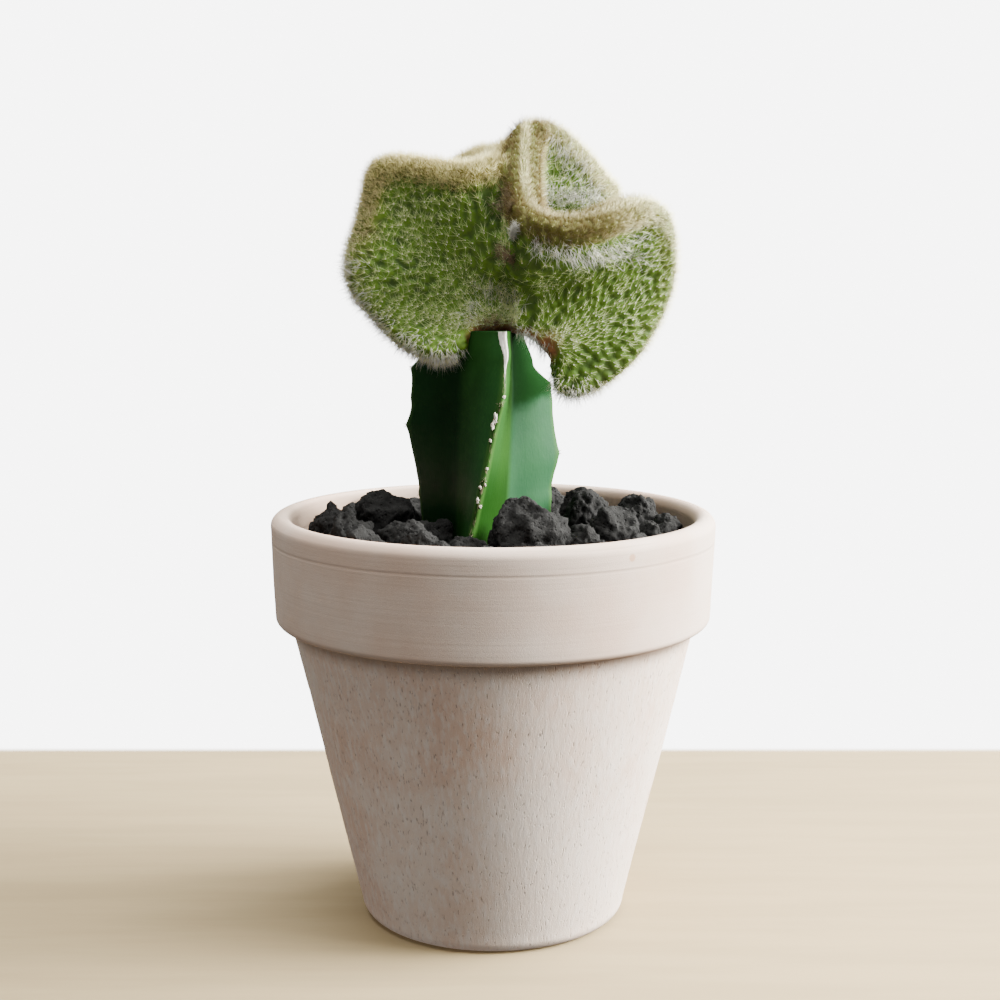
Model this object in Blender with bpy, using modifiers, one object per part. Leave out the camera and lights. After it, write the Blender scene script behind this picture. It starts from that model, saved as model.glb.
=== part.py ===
"""Potted crested foxtail cactus: a folded, spiny crest grafted on a three-ribbed stem, in a clay pot.

Units are metres and +Z is up. The origin is the middle of the pot's base, and the front of the plant
faces -Y.
"""

import math
import random

import bmesh
import bpy
from mathutils import Matrix, Vector, noise
from mathutils.bvhtree import BVHTree
from mathutils.kdtree import KDTree

GAP = 0.0003  # clearance between pieces that touch
MERGE = 0.0001  # merge distance of the Screw modifiers
CUTTER_REACH = 0.005  # how far a cutter stands out of the face it cuts
SMOOTH_ANGLE = 35.0  # degrees; edges sharper than this stay sharp

# Pot, a turned clay pot with a raised rim band
POT_HEIGHT = 0.102
RIM_RADIUS = 0.055
LIP_RADIUS = 0.00265  # the lip is a half round of this radius
BAND_BOTTOM = 0.0754
BAND_FOOT_RADIUS = 0.054
BAND_ROUNDING = 0.0015
BAND_FILLET = 0.0008  # between the band's underside and the body
BODY_TOP_RADIUS = 0.0502
BASE_RADIUS = 0.0334
BASE_ROUNDING = 0.0035
FLOOR_THICKNESS = 0.007
FLOOR_CORNER = 0.0045  # radius inside, between floor and wall
WALL = 0.005
DRAIN_RADIUS = 0.0065
DRAIN_CHAMFER = 0.001
SHOULDER_BOTTOM = 0.071  # the inner wall steps out behind the band between these two heights
SHOULDER_TOP = 0.080
SHOULDER_LEAN = 0.0006  # how much narrower the inside is at the shoulder's top than at the lip
ROUND_STEPS = 3  # facets along the lip's quarter and the base's rounding
CORNER_STEPS = 2
POT_STEPS = 56

# Soil and the stem's place in it
SOIL_TOP = 0.0905
STEM_DEPTH = 0.024
SOIL_STEPS = 40
STEM_HOLE_LEVELS = 6

# Stock: for each rib, its compass angles at the soil and at the cut top, then (height, tip radius) from
# the cut foot to the cut top
STOCK_TOP = 0.1468
STOCK_CENTRE = (-0.0022, 0.0015)
STOCK_VALLEY = 0.0066
VALLEY_TURN = 60.0  # degrees from a rib to the valleys beside it
RIB_TIP_HALF = 0.0011
RIB_TIP_ROUNDING = 0.0012
RIB_TIP_FLAT = 0.4  # width of the tip's flat as a share of the tip
RIB_WAIST_HALF = 0.0031
RIB_WAIST_PLACE = 0.45  # where the waist lies between valley and tip
STOCK_RIBS = {
    "front": ((-105.0, -66.0), ((0.066, 0.0170), (0.092, 0.0182), (0.099, 0.0190), (0.112, 0.0198),
                                (0.121, 0.0188), (0.132, 0.0190), (0.140, 0.0158), (0.1468, 0.0120))),
    "right": ((13.0, 39.0), ((0.066, 0.0160), (0.096, 0.0174), (0.106, 0.0180), (0.1155, 0.0204),
                             (0.124, 0.0198), (0.132, 0.0198), (0.138, 0.0148), (0.1468, 0.0120))),
    "left": ((131.0, 157.0), ((0.066, 0.0215), (0.096, 0.0232), (0.107, 0.0226), (0.122, 0.0238),
                              (0.128, 0.0218), (0.136, 0.0208), (0.142, 0.0165), (0.1468, 0.0114))),
}
STOCK_LEVELS = 15
SEAT_LEVELS = 12
AREOLE_HEIGHTS = {"front": (0.099, 0.112, 0.130), "right": (0.1155, 0.133), "left": (0.104, 0.122, 0.137)}
AREOLE_RADIUS = 0.0011
AREOLE_SUNK = 0.35  # share of its radius that an areole's middle lies inside the rib's tip

# Crest: the growing edge from the lower left corner to the lower right one, as (X, Y, Z, lift). The lift
# is how much the fan first bulges up and back before it comes out to the edge there, which rolls the
# edge forward.
CREST_EDGE = (
    (-0.0058, -0.0040, 0.1420, 0.0), (-0.0132, -0.0046, 0.1395, 0.0), (-0.0222, -0.0035, 0.1430, 0.0),
    (-0.0292, -0.0010, 0.1497, 0.0), (-0.0350, 0.0000, 0.1570, 0.0), (-0.0358, 0.0000, 0.1655, 0.0),
    (-0.0332, 0.0010, 0.1725, 0.0), (-0.0312, 0.0015, 0.1805, 0.0), (-0.0293, 0.0015, 0.1868, 0.0),
    (-0.0232, 0.0005, 0.1886, 0.0), (-0.0128, -0.0010, 0.1872, 0.0), (-0.0068, -0.0020, 0.1866, 0.0),
    (-0.0025, -0.0010, 0.1874, 0.0), (-0.0006, 0.0040, 0.1888, 0.0), (-0.0012, 0.0090, 0.1910, 0.0),
    (-0.0045, 0.0125, 0.1905, 0.0), (-0.0078, 0.0180, 0.1885, 0.0), (-0.0050, 0.0240, 0.1895, 0.0),
    (0.0020, 0.0265, 0.1930, 0.0), (0.0100, 0.0270, 0.1952, 0.0), (0.0190, 0.0265, 0.1925, 0.0),
    (0.0268, 0.0235, 0.1865, 0.0), (0.0290, 0.0175, 0.1825, 0.0), (0.0268, 0.0125, 0.1845, 0.0),
    (0.0230, 0.0112, 0.1900, 0.0), (0.0170, 0.0108, 0.1952, 0.0), (0.0112, 0.0095, 0.1975, 0.0),
    (0.0082, 0.0060, 0.1968, 0.0), (0.0076, 0.0010, 0.1910, 0.0), (0.0074, -0.0045, 0.1845, 0.0),
    (0.0078, -0.0100, 0.1790, 0.0), (0.0092, -0.0145, 0.1755, 0.002), (0.0130, -0.0165, 0.1734, 0.004),
    (0.0185, -0.0168, 0.1730, 0.005), (0.0250, -0.0152, 0.1743, 0.005), (0.0310, -0.0118, 0.1765, 0.003),
    (0.0362, -0.0080, 0.1776, 0.001), (0.0408, -0.0050, 0.1756, 0.0), (0.0430, -0.0020, 0.1702, 0.0),
    (0.0440, 0.0000, 0.1630, 0.0), (0.0432, 0.0000, 0.1562, 0.0), (0.0400, -0.0010, 0.1480, 0.0),
    (0.0355, -0.0020, 0.1412, 0.0), (0.0296, -0.0030, 0.1355, 0.0), (0.0240, -0.0034, 0.1318, 0.0),
    (0.0195, -0.0036, 0.1309, 0.0), (0.0160, -0.0036, 0.1320, 0.0), (0.0146, -0.0036, 0.1345, 0.0),
)
CREST_BASE = ((-0.0040, -0.0010, 0.1464), (0.0020, 0.0005, 0.1464), (0.0088, -0.0015, 0.1450),
              (0.0144, -0.0034, 0.1428))
LIFT_WAY = (0.0, 0.5, 1.0)
CREST_THICKNESS = 0.0074
CREST_CALM = 110  # smoothing rounds that turn the growing edge into the unfolded fan's outline
CALM_DEPTH = 0.3  # how much of the unfolded fan's own bend front to back is kept
FOLD_FOOT = 0.1575  # height where the folds start
FOLD_RISE = 0.70  # height that a fold takes to its full depth, as a share of that depth
FOLD_LEAST = 0.007  # least height that a fold takes
FOLD_SHARE = 0.3  # share of the way out where the folds start at the latest
CREST_COLUMNS = 150
CREST_ROWS = 16
CREST_VOXEL = 0.0016
CREST_TRIANGLES = 3500
SOFTEN_FACTOR, SOFTEN_ROUNDS = 0.5, 4
PATH_STEPS = 24  # steps between two given points of a smooth path

# Spines, three-sided needles grown from the crest
SPINE_LENGTH = 0.0029
SPINE_ROOT = 0.0012  # how deep a needle starts in the flesh
SPINE_RADIUS = 0.00042
SPINE_LEAN = 0.35
SPINE_SPACING = 0.0043
EDGE_SPINE_SPACING = 0.0031
EDGE_REACH = 0.007  # closer to the growing edge than this, spines stand at the edge spacing
SPINE_CANDIDATE_AREA = 0.0000012  # one possible place for each such area of skin
SPINE_CLEARANCE = 0.0015  # free way beyond a spine's tip
STEM_CLEARANCE = 0.0012  # free way between a spine and the stem
SPINE_SEED = 7

# Stones: hand-placed ones as (X, Y, half width, half depth, height), then a seeded fill of smaller ones
PLACED_STONES = (
    (0.0085, -0.0275, 0.0105, 0.0080, 0.0185),
    (0.0215, -0.0345, 0.0062, 0.0055, 0.0125),
    (0.0290, -0.0195, 0.0080, 0.0070, 0.0160),
    (0.0375, -0.0215, 0.0040, 0.0050, 0.0110),
    (0.0365, 0.0100, 0.0066, 0.0064, 0.0150),
    (0.0230, 0.0060, 0.0064, 0.0056, 0.0160),
    (0.0430, 0.0020, 0.0046, 0.0060, 0.0105),
    (-0.0275, -0.0010, 0.0095, 0.0080, 0.0170),
    (-0.0400, -0.0050, 0.0056, 0.0060, 0.0135),
    (-0.0340, -0.0180, 0.0064, 0.0056, 0.0140),
    (-0.0165, -0.0375, 0.0056, 0.0046, 0.0130),
    (-0.0190, -0.0260, 0.0085, 0.0055, 0.0130),
)
STONE_COUNT = 39
STONE_SIZES = (0.0060, 0.0085)  # half widths of the seeded stones
STONE_DEPTHS = (0.8, 1.0)  # half depth as a share of the half width
STONE_HEIGHTS = (1.5, 1.9)  # height as a share of the half width
STONE_RING = (0.05, 0.86)  # squared shares of the pot's inner radius between which seeded stones lie
STONE_TRIES = 400
STONE_REACH = 0.040  # stones further apart than this don't press on each other
STONE_OFF_STEM = 0.003  # least way from a seeded stone's middle to the stem
STONE_LOW = 0.45  # height of a stone's middle as a share of its height
STONE_TALL = 0.55  # its reach up and down from there
STONE_ROUGHNESS = 0.44
STONE_LUMPS = 1.7  # how fine the lumps are
STONE_SPIN = 0.5  # radians either way
STONE_SEED = 11
STEM_MIDDLE = 0.008  # height above the soil at which stones meet the stem
STEM_MARGIN = 0.0020  # room for the ribs' twist between the soil and the stones' tops

TERRACOTTA = (0.52, 0.44, 0.39, 1.0)
SOIL_BROWN = (0.055, 0.040, 0.030, 1.0)
LAVA_GREY = (0.045, 0.045, 0.048, 1.0)
STOCK_GREEN = (0.020, 0.085, 0.030, 1.0)
CREST_GREEN = (0.16, 0.24, 0.06, 1.0)


def clear_scene():
    for old in list(bpy.data.objects):
        bpy.data.objects.remove(old, do_unlink=True)


def new_collection(name):
    collection = bpy.data.collections.new(name)
    bpy.context.scene.collection.children.link(collection)
    return collection


def new_material(name, colour, roughness):
    material = bpy.data.materials.new(name)
    material.use_nodes = True
    shader = material.node_tree.nodes["Principled BSDF"]
    shader.inputs["Base Color"].default_value = colour
    shader.inputs["Roughness"].default_value = roughness
    shader.inputs["Metallic"].default_value = 0.0
    return material


def new_object(name, bm, collection, material=None):
    """Makes the bmesh an object of that name and frees the bmesh."""
    bmesh.ops.recalc_face_normals(bm, faces=bm.faces)
    mesh = bpy.data.meshes.new(name)
    bm.to_mesh(mesh)
    bm.free()
    made = bpy.data.objects.new(name, mesh)
    collection.objects.link(made)
    if material:
        mesh.materials.append(material)
    return made


def as_cutter(made):
    made.hide_render = True
    made.display_type = "WIRE"
    return made


def apply_modifiers(made):
    """Replaces the object's mesh by its evaluated one and drops its modifiers."""
    bpy.context.view_layer.update()
    evaluated = made.evaluated_get(bpy.context.evaluated_depsgraph_get())
    mesh = bpy.data.meshes.new_from_object(evaluated)
    made.modifiers.clear()
    old = made.data
    made.data = mesh
    bpy.data.meshes.remove(old)
    mesh.name = made.name


def shade_round(made):
    made.data.shade_smooth()
    made.data.set_sharp_from_angle(angle=math.radians(SMOOTH_ANGLE))


def cut_away(made, cutter):
    """Cuts the closed cutter out of made and removes the cutter."""
    cut = made.modifiers.new("cut", "BOOLEAN")
    cut.operation = "DIFFERENCE"
    cut.object = cutter
    cut.solver = "EXACT"
    apply_modifiers(made)
    bpy.data.objects.remove(cutter, do_unlink=True)


def fuse(made, pieces, solver):
    """Joins every object of the collection pieces to made, applies the union and removes them."""
    union = made.modifiers.new("grown together", "BOOLEAN")
    union.operation = "UNION"
    union.operand_type = "COLLECTION"
    union.collection = pieces
    union.solver = solver
    apply_modifiers(made)
    for piece in list(pieces.objects):
        bpy.data.objects.remove(piece, do_unlink=True)


def arc(centre, radius, start, end, steps):
    """Points (r, z) on an arc, its ends included, with angles in degrees."""
    angles = [math.radians(start + (end - start) * i / steps) for i in range(steps + 1)]
    return [(centre[0] + radius * math.cos(a), centre[1] + radius * math.sin(a)) for a in angles]


def turned(name, profile, closed, steps, collection, material):
    """A solid of revolution about Z from a profile of (r, z) points that runs down its outer side first."""
    bm = bmesh.new()
    points = [bm.verts.new((r, 0.0, z)) for r, z in profile]
    for a, b in zip(points, points[1:]):
        bm.edges.new((a, b))
    if closed:
        bm.edges.new((points[-1], points[0]))
    mesh = bpy.data.meshes.new(name)
    bm.to_mesh(mesh)
    bm.free()
    made = bpy.data.objects.new(name, mesh)
    collection.objects.link(made)
    mesh.materials.append(material)
    screw = made.modifiers.new("turn", "SCREW")
    screw.axis = "Z"
    screw.steps = steps
    screw.render_steps = steps
    screw.use_merge_vertices = True
    screw.merge_threshold = MERGE
    screw.use_smooth_shade = True
    return made


def body_radius(z):
    """The tapered body's outer radius at a height."""
    share = (z - BASE_ROUNDING) / (BAND_BOTTOM - BASE_ROUNDING)
    return BASE_RADIUS + (BODY_TOP_RADIUS - BASE_RADIUS) * share


def inner_wall():
    """The pot's inner wall as (r, z) points, from its floor up to where the lip's half round starts."""
    foot_height = FLOOR_THICKNESS + FLOOR_CORNER
    corner = (body_radius(foot_height) - WALL - FLOOR_CORNER, foot_height)
    lip = RIM_RADIUS - 2 * LIP_RADIUS
    return arc(corner, FLOOR_CORNER, -90, 0, CORNER_STEPS) + [
        (body_radius(SHOULDER_BOTTOM) - WALL, SHOULDER_BOTTOM),
        (lip - SHOULDER_LEAN, SHOULDER_TOP),
        (lip, POT_HEIGHT - LIP_RADIUS),
    ]


def wall_radius(z):
    """The inner wall's radius at a height above the floor."""
    points = inner_wall()
    for (r0, z0), (r1, z1) in zip(points, points[1:]):
        if z <= z1:
            return r0 + (r1 - r0) * max(0.0, (z - z0) / (z1 - z0))
    return points[-1][0]


def make_pot(collection, clay):
    lip_centre = (RIM_RADIUS - LIP_RADIUS, POT_HEIGHT - LIP_RADIUS)
    band_corner = (BAND_FOOT_RADIUS - BAND_ROUNDING, BAND_BOTTOM + BAND_ROUNDING)
    base_corner = (BASE_RADIUS - BASE_ROUNDING, BASE_ROUNDING)
    profile = arc(lip_centre, LIP_RADIUS, 90, 0, ROUND_STEPS)
    profile += arc(band_corner, BAND_ROUNDING, 0, -90, CORNER_STEPS)
    profile += [(BODY_TOP_RADIUS + BAND_FILLET, BAND_BOTTOM), (BODY_TOP_RADIUS, BAND_BOTTOM - BAND_FILLET)]
    profile += arc(base_corner, BASE_ROUNDING, 0, -90, ROUND_STEPS)
    profile += [(DRAIN_RADIUS + DRAIN_CHAMFER, 0.0), (DRAIN_RADIUS, DRAIN_CHAMFER)]
    profile.append((DRAIN_RADIUS, FLOOR_THICKNESS))
    profile += inner_wall()
    profile += arc(lip_centre, LIP_RADIUS, 180, 90, ROUND_STEPS)[1:-1]
    return turned("pot", profile, True, POT_STEPS, collection, clay)


def rib_radius(levels, z):
    """The rib's tip radius at a height, on a smooth curve through its measured levels."""
    for (z0, r0), (z1, r1) in zip(levels, levels[1:]):
        if z <= z1:
            t = max(0.0, (z - z0) / (z1 - z0))
            return r0 + (r1 - r0) * t * t * (3 - 2 * t)
    return levels[-1][1]


def rib_way(turns, z, aside=0.0):
    """The level direction of a rib at a height, or that many degrees aside of it.

    The rib turns evenly from the soil's surface to the top. Below the surface it runs straight.
    """
    foot, top = turns
    t = (z - SOIL_TOP) / (STOCK_TOP - SOIL_TOP)
    angle = math.radians(foot + (top - foot) * max(0.0, min(1.0, t)) + aside)
    return Vector((math.cos(angle), math.sin(angle)))


def rib_outline(turns, levels, z, swell):
    """One rib's outline at a height from the valley before it to the valley after it, counter-clockwise."""
    along = rib_way(turns, z)
    across = Vector((-along.y, along.x))
    tip = rib_radius(levels, z) + swell
    valley = STOCK_VALLEY + swell
    waist = valley + (tip - valley) * RIB_WAIST_PLACE
    side = [
        (waist, RIB_WAIST_HALF + swell),
        (tip - RIB_TIP_ROUNDING, RIB_TIP_HALF + swell),
        (tip, (RIB_TIP_HALF + swell) * RIB_TIP_FLAT),
    ]
    outline = [rib_way(turns, z, -VALLEY_TURN) * valley]
    outline += [along * out - across * half for out, half in side]
    outline += [along * out + across * half for out, half in reversed(side)]
    outline.append(rib_way(turns, z, VALLEY_TURN) * valley)
    centre = Vector(STOCK_CENTRE)
    return [point + centre for point in outline]


def stock_loft(bottom, top, levels, swell):
    """A closed bmesh of the stem between two heights, as a loft through its outlines."""
    bm = bmesh.new()
    rings = []
    for i in range(levels + 1):
        z = bottom + (top - bottom) * i / levels
        outline = [p for turns, tips in STOCK_RIBS.values() for p in rib_outline(turns, tips, z, swell)[1:]]
        rings.append([bm.verts.new((p.x, p.y, z)) for p in outline])
    for low, high in zip(rings, rings[1:]):
        for i in range(len(low)):
            j = (i + 1) % len(low)
            bm.faces.new((low[i], low[j], high[j], high[i]))
    bm.faces.new(reversed(rings[0]))
    bm.faces.new(rings[-1])
    return bm


def areole_places():
    """Where the small cushions sit, along each rib's edge."""
    places = []
    for name, heights in AREOLE_HEIGHTS.items():
        turns, levels = STOCK_RIBS[name]
        for z in heights:
            reach = rib_radius(levels, z) - AREOLE_RADIUS * AREOLE_SUNK
            place = rib_way(turns, z) * reach + Vector(STOCK_CENTRE)
            places.append(Vector((place.x, place.y, z)))
    return places


def make_stock(collection, cutters, skin):
    bottom = SOIL_TOP - STEM_DEPTH
    stock = new_object("stock", stock_loft(bottom, STOCK_TOP, STOCK_LEVELS, 0.0), collection, skin)
    for place in areole_places():
        bm = bmesh.new()
        spot = Matrix.Translation(place)
        bmesh.ops.create_icosphere(bm, subdivisions=1, radius=AREOLE_RADIUS, matrix=spot)
        as_cutter(new_object("areole", bm, cutters))
    fuse(stock, cutters, "EXACT")
    shade_round(stock)


def make_soil(collection, cutters, earth):
    """The mix fills the pot up to the stones and has a plain hole that the stem stands in."""
    wall = [(r - GAP, max(z, FLOOR_THICKNESS + GAP)) for r, z in inner_wall() if z < SOIL_TOP]
    profile = [(0.0, SOIL_TOP), (wall_radius(SOIL_TOP) - GAP, SOIL_TOP)] + wall[::-1]
    profile.append((0.0, FLOOR_THICKNESS + GAP))
    soil = turned("soil", profile, False, SOIL_STEPS, collection, earth)
    bottom = SOIL_TOP - STEM_DEPTH - GAP
    hole = stock_loft(bottom, SOIL_TOP + CUTTER_REACH, STEM_HOLE_LEVELS, 2 * GAP)
    cut_away(soil, as_cutter(new_object("stem_hole", hole, cutters)))


def smooth_path(points, count):
    """count points evenly along a smooth curve through the given ones, which may carry further values."""
    points = [Vector(p) for p in points]
    ends = [points[0] * 2 - points[1]] + points + [points[-1] * 2 - points[-2]]
    fine = []
    for p0, p1, p2, p3 in zip(ends, ends[1:], ends[2:], ends[3:]):
        for i in range(PATH_STEPS):
            t = i / PATH_STEPS
            fine.append(0.5 * (2 * p1 + (p2 - p0) * t + (2 * p0 - 5 * p1 + 4 * p2 - p3) * t ** 2
                               + (3 * p1 - p0 - 3 * p2 + p3) * t ** 3))
    fine.append(points[-1])
    run = [0.0]
    for a, b in zip(fine, fine[1:]):
        run.append(run[-1] + (b.to_3d() - a.to_3d()).length)
    path, j = [], 0
    for i in range(count):
        goal = run[-1] * i / (count - 1)
        while j < len(fine) - 2 and run[j + 1] < goal:
            j += 1
        path.append(fine[j].lerp(fine[j + 1], min(1.0, (goal - run[j]) / (run[j + 1] - run[j]))))
    return path


def relaxed(path, rounds):
    """The path with its folds smoothed out, its ends kept."""
    path = list(path)
    for _ in range(rounds):
        inner = [(a + b * 2 + c) / 4 for a, b, c in zip(path, path[1:], path[2:])]
        path = [path[0]] + inner + [path[-1]]
    return path


def crest_sheet():
    """The fan's middle surface as rows of points, from the union with the stem out to the growing edge."""
    curve = smooth_path(CREST_EDGE, CREST_COLUMNS)
    edge = [p.to_3d() for p in curve]
    lifts = [Vector(LIFT_WAY) * p.w for p in curve]
    base = smooth_path(CREST_BASE, CREST_COLUMNS)
    calm = [Vector((c.x, c.y * CALM_DEPTH, c.z)) for c in relaxed(edge, CREST_CALM)]
    rows = []
    for j in range(CREST_ROWS):
        v = j / (CREST_ROWS - 1)
        row = []
        for b, c, e, lift in zip(base, calm, edge, lifts):
            flat = b.lerp(c, v)
            rise = max(FOLD_LEAST, FOLD_RISE * (e - c).length)
            t = max((flat.z - FOLD_FOOT) / rise, (v - FOLD_SHARE) / (1 - FOLD_SHARE))
            t = max(0.0, min(1.0, t))
            row.append(flat + (e - c) * t * t * (3 - 2 * t) + lift * 2 * v * (1 - v))
        rows.append(row)
    return rows


def crest_flesh(collection, skin):
    """The fleshy folded fan without its spines."""
    bm = bmesh.new()
    grid = [[bm.verts.new(p) for p in row] for row in crest_sheet()]
    for low, high in zip(grid, grid[1:]):
        for i in range(len(low) - 1):
            bm.faces.new((low[i], low[i + 1], high[i + 1], high[i]))
    crest = new_object("crest", bm, collection, skin)
    flesh = crest.modifiers.new("flesh", "SOLIDIFY")
    flesh.thickness = CREST_THICKNESS
    flesh.offset = 0.0
    grown = crest.modifiers.new("grown together", "REMESH")
    grown.mode = "VOXEL"
    grown.voxel_size = CREST_VOXEL
    soft = crest.modifiers.new("soft edges", "SMOOTH")
    soft.factor = SOFTEN_FACTOR
    soft.iterations = SOFTEN_ROUNDS
    apply_modifiers(crest)
    return crest


def thin_out(made, triangles):
    """Reduces the mesh to about that many triangles, keeping its form."""
    made.data.calc_loop_triangles()
    fewer = made.modifiers.new("fewer", "DECIMATE")
    fewer.ratio = min(1.0, triangles / len(made.data.loop_triangles))
    fewer.use_collapse_triangulate = True
    apply_modifiers(made)


def spine_roots(crest):
    """Seeded, evenly spaced points on the crest as (place, normal), closer together near the edge."""
    draw = random.Random(SPINE_SEED)
    edge_tree = KDTree(CREST_COLUMNS)
    for i, p in enumerate(smooth_path(CREST_EDGE, CREST_COLUMNS)):
        edge_tree.insert(p.to_3d(), i)
    edge_tree.balance()
    mesh = crest.data
    mesh.calc_loop_triangles()
    candidates = []
    for triangle in mesh.loop_triangles:
        a, b, c = (mesh.vertices[i].co for i in triangle.vertices)
        for _ in range(max(1, round(triangle.area / SPINE_CANDIDATE_AREA))):
            s, t = draw.random(), draw.random()
            if s + t > 1:
                s, t = 1 - s, 1 - t
            candidates.append((a + (b - a) * s + (c - a) * t, triangle.normal.copy()))
    draw.shuffle(candidates)
    taken, roots = {}, []
    steps = (-1, 0, 1)
    for place, normal in candidates:
        spacing = EDGE_SPINE_SPACING if edge_tree.find(place)[2] < EDGE_REACH else SPINE_SPACING
        cell = tuple(math.floor(k / SPINE_SPACING) for k in place)
        near = (q for i in steps for j in steps for k in steps
                for q in taken.get((cell[0] + i, cell[1] + j, cell[2] + k), ()))
        if all((place - q).length >= spacing for q in near):
            taken.setdefault(cell, []).append(place)
            roots.append((place, normal))
    return roots


def tree_of(bm):
    """A search tree of the bmesh's faces. It frees the bmesh."""
    tree = BVHTree.FromBMesh(bm)
    bm.free()
    return tree


def grow_spines(crest, cutters):
    """Grows a needle from each root that has free room before it and beside the stem."""
    draw = random.Random(SPINE_SEED + 1)
    bm = bmesh.new()
    bm.from_mesh(crest.data)
    flesh = tree_of(bm)
    stem = tree_of(stock_loft(SOIL_TOP, STOCK_TOP, SEAT_LEVELS, 0.0))
    free_way = SPINE_LENGTH + SPINE_CLEARANCE
    for place, normal in spine_roots(crest):
        lean = Vector([draw.uniform(-1, 1) for _ in range(3)]) * SPINE_LEAN
        along = (normal + lean).normalized()
        tip = place + along * SPINE_LENGTH
        blocked = flesh.ray_cast(place + along * SPINE_RADIUS, along, free_way)[0] is not None
        if blocked or min(stem.find_nearest(p)[3] for p in (place, tip)) < STEM_CLEARANCE:
            continue
        middle = place + along * (SPINE_LENGTH - SPINE_ROOT) / 2
        stand = Matrix.Translation(middle) @ along.to_track_quat("Z", "Y").to_matrix().to_4x4()
        bm = bmesh.new()
        bmesh.ops.create_cone(bm, cap_ends=True, segments=3, radius1=SPINE_RADIUS, radius2=0.0,
                              depth=SPINE_LENGTH + SPINE_ROOT, matrix=stand)
        as_cutter(new_object("spine", bm, cutters))
    fuse(crest, cutters, "MANIFOLD")


def make_crest(collection, cutters, skin):
    crest = crest_flesh(collection, skin)
    thin_out(crest, CREST_TRIANGLES)
    seat = stock_loft(SOIL_TOP, STOCK_TOP + GAP, SEAT_LEVELS, 2 * GAP)
    cut_away(crest, as_cutter(new_object("stem_seat", seat, cutters)))
    grow_spines(crest, cutters)
    shade_round(crest)


def rib_side(turns, levels, place):
    """The side of a rib that faces a place among the stones, as (way off it, point, outward normal)."""
    outline = rib_outline(turns, levels, SOIL_TOP + STEM_MIDDLE, STEM_MARGIN) + [Vector(STOCK_CENTRE)]
    sides = []
    for a, b in zip(outline, outline[1:] + outline[:1]):
        normal = Vector((b.y - a.y, a.x - b.x)).normalized()
        sides.append(((place - a).dot(normal), a, normal))
    return max(sides, key=lambda side: side[0])


def stone_places():
    """Stones as (centre X, Y, half width, half depth, height): the placed ones, then a seeded fill."""
    draw = random.Random(STONE_SEED)
    stones = list(PLACED_STONES)
    reach = wall_radius(SOIL_TOP)
    while len(stones) < STONE_COUNT:
        best, best_room = None, -math.inf
        for _ in range(STONE_TRIES):
            turn, r = draw.uniform(0, 2 * math.pi), reach * math.sqrt(draw.uniform(*STONE_RING))
            x, y = r * math.cos(turn), r * math.sin(turn)
            wide = draw.uniform(*STONE_SIZES)
            shape = (wide * draw.uniform(*STONE_DEPTHS), wide * draw.uniform(*STONE_HEIGHTS))
            off_stem = min(rib_side(turns, tips, Vector((x, y)))[0] for turns, tips in STOCK_RIBS.values())
            off_stones = min(math.hypot(x - s[0], y - s[1]) - (s[2] + s[3]) / 2 for s in stones)
            room = min(off_stem, off_stones, reach - r) - wide
            if room > best_room and off_stem > STONE_OFF_STEM:
                best, best_room = (x, y, wide) + shape, room
        stones.append(best)
    return stones


def stone_limits(index, stones):
    """The flat limits (point, normal) that a stone keeps behind: soil, other stones and stem."""
    x, y, wide, deep, _ = stones[index]
    here = Vector((x, y, 0.0))
    limits = [(Vector((0, 0, SOIL_TOP + GAP)), Vector((0, 0, -1)))]
    for k, (other_x, other_y, other_wide, other_deep, _) in enumerate(stones):
        across = Vector((other_x, other_y, 0.0)) - here
        if k == index or across.length > STONE_REACH:
            continue
        share = (wide + deep) / (wide + deep + other_wide + other_deep)
        way = across.normalized()
        limits.append((here + across * share - way * GAP / 2, way))
    for turns, levels in STOCK_RIBS.values():
        _, point, normal = rib_side(turns, levels, here.to_2d())
        limits.append((point.to_3d(), -normal.to_3d()))
    return limits


def share_to_wall(start, way, wall):
    """The share of the level vector way that leads from start to the round wall of that radius."""
    a, b, c = way.dot(way), 2 * start.dot(way), start.dot(start) - wall * wall
    return (-b + math.sqrt(max(0.0, b * b - 4 * a * c))) / (2 * a) if a > 0 else math.inf


def make_stone(index, stones, collection, rock):
    """One lump of lava: a rough ball pressed flat where it meets what lies beside and under it."""
    x, y, wide, deep, height = stones[index]
    draw = random.Random(STONE_SEED * 100 + index)
    spin = Matrix.Rotation(draw.uniform(-STONE_SPIN, STONE_SPIN), 3, "Z")
    shift = Vector([draw.uniform(-9, 9) for _ in range(3)])
    centre = Vector((x, y, SOIL_TOP + height * STONE_LOW))
    limits = stone_limits(index, stones)
    wall = wall_radius(SOIL_TOP) - 2 * GAP
    bm = bmesh.new()
    bmesh.ops.create_icosphere(bm, subdivisions=2, radius=1.0)
    for vert in bm.verts:
        way = vert.co.normalized()
        rough = 1.0 + STONE_ROUGHNESS * noise.noise(way * STONE_LUMPS + shift)
        ray = spin @ Vector((way.x * wide, way.y * deep, way.z * height * STONE_TALL)) * rough
        share = min(1.0, share_to_wall(centre.to_2d(), ray.to_2d(), wall))
        for point, normal in limits:
            outward = ray.dot(normal)
            if outward > 0:
                share = min(share, max(0.0, (point - centre).dot(normal)) / outward)
        vert.co = centre + ray * share
    new_object(f"stone_{index + 1:02d}", bm, collection, rock)


def main():
    clear_scene()
    plant = new_collection("potted_crested_cactus")
    cutters = new_collection("cutters")
    make_pot(plant, new_material("terracotta", TERRACOTTA, 0.9))
    make_soil(plant, cutters, new_material("potting_mix", SOIL_BROWN, 1.0))
    make_stock(plant, cutters, new_material("stock_skin", STOCK_GREEN, 0.4))
    make_crest(plant, cutters, new_material("crest_skin", CREST_GREEN, 0.7))
    rock = new_material("lava", LAVA_GREY, 0.95)
    stones = stone_places()
    for index in range(len(stones)):
        make_stone(index, stones, plant, rock)


main()
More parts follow.
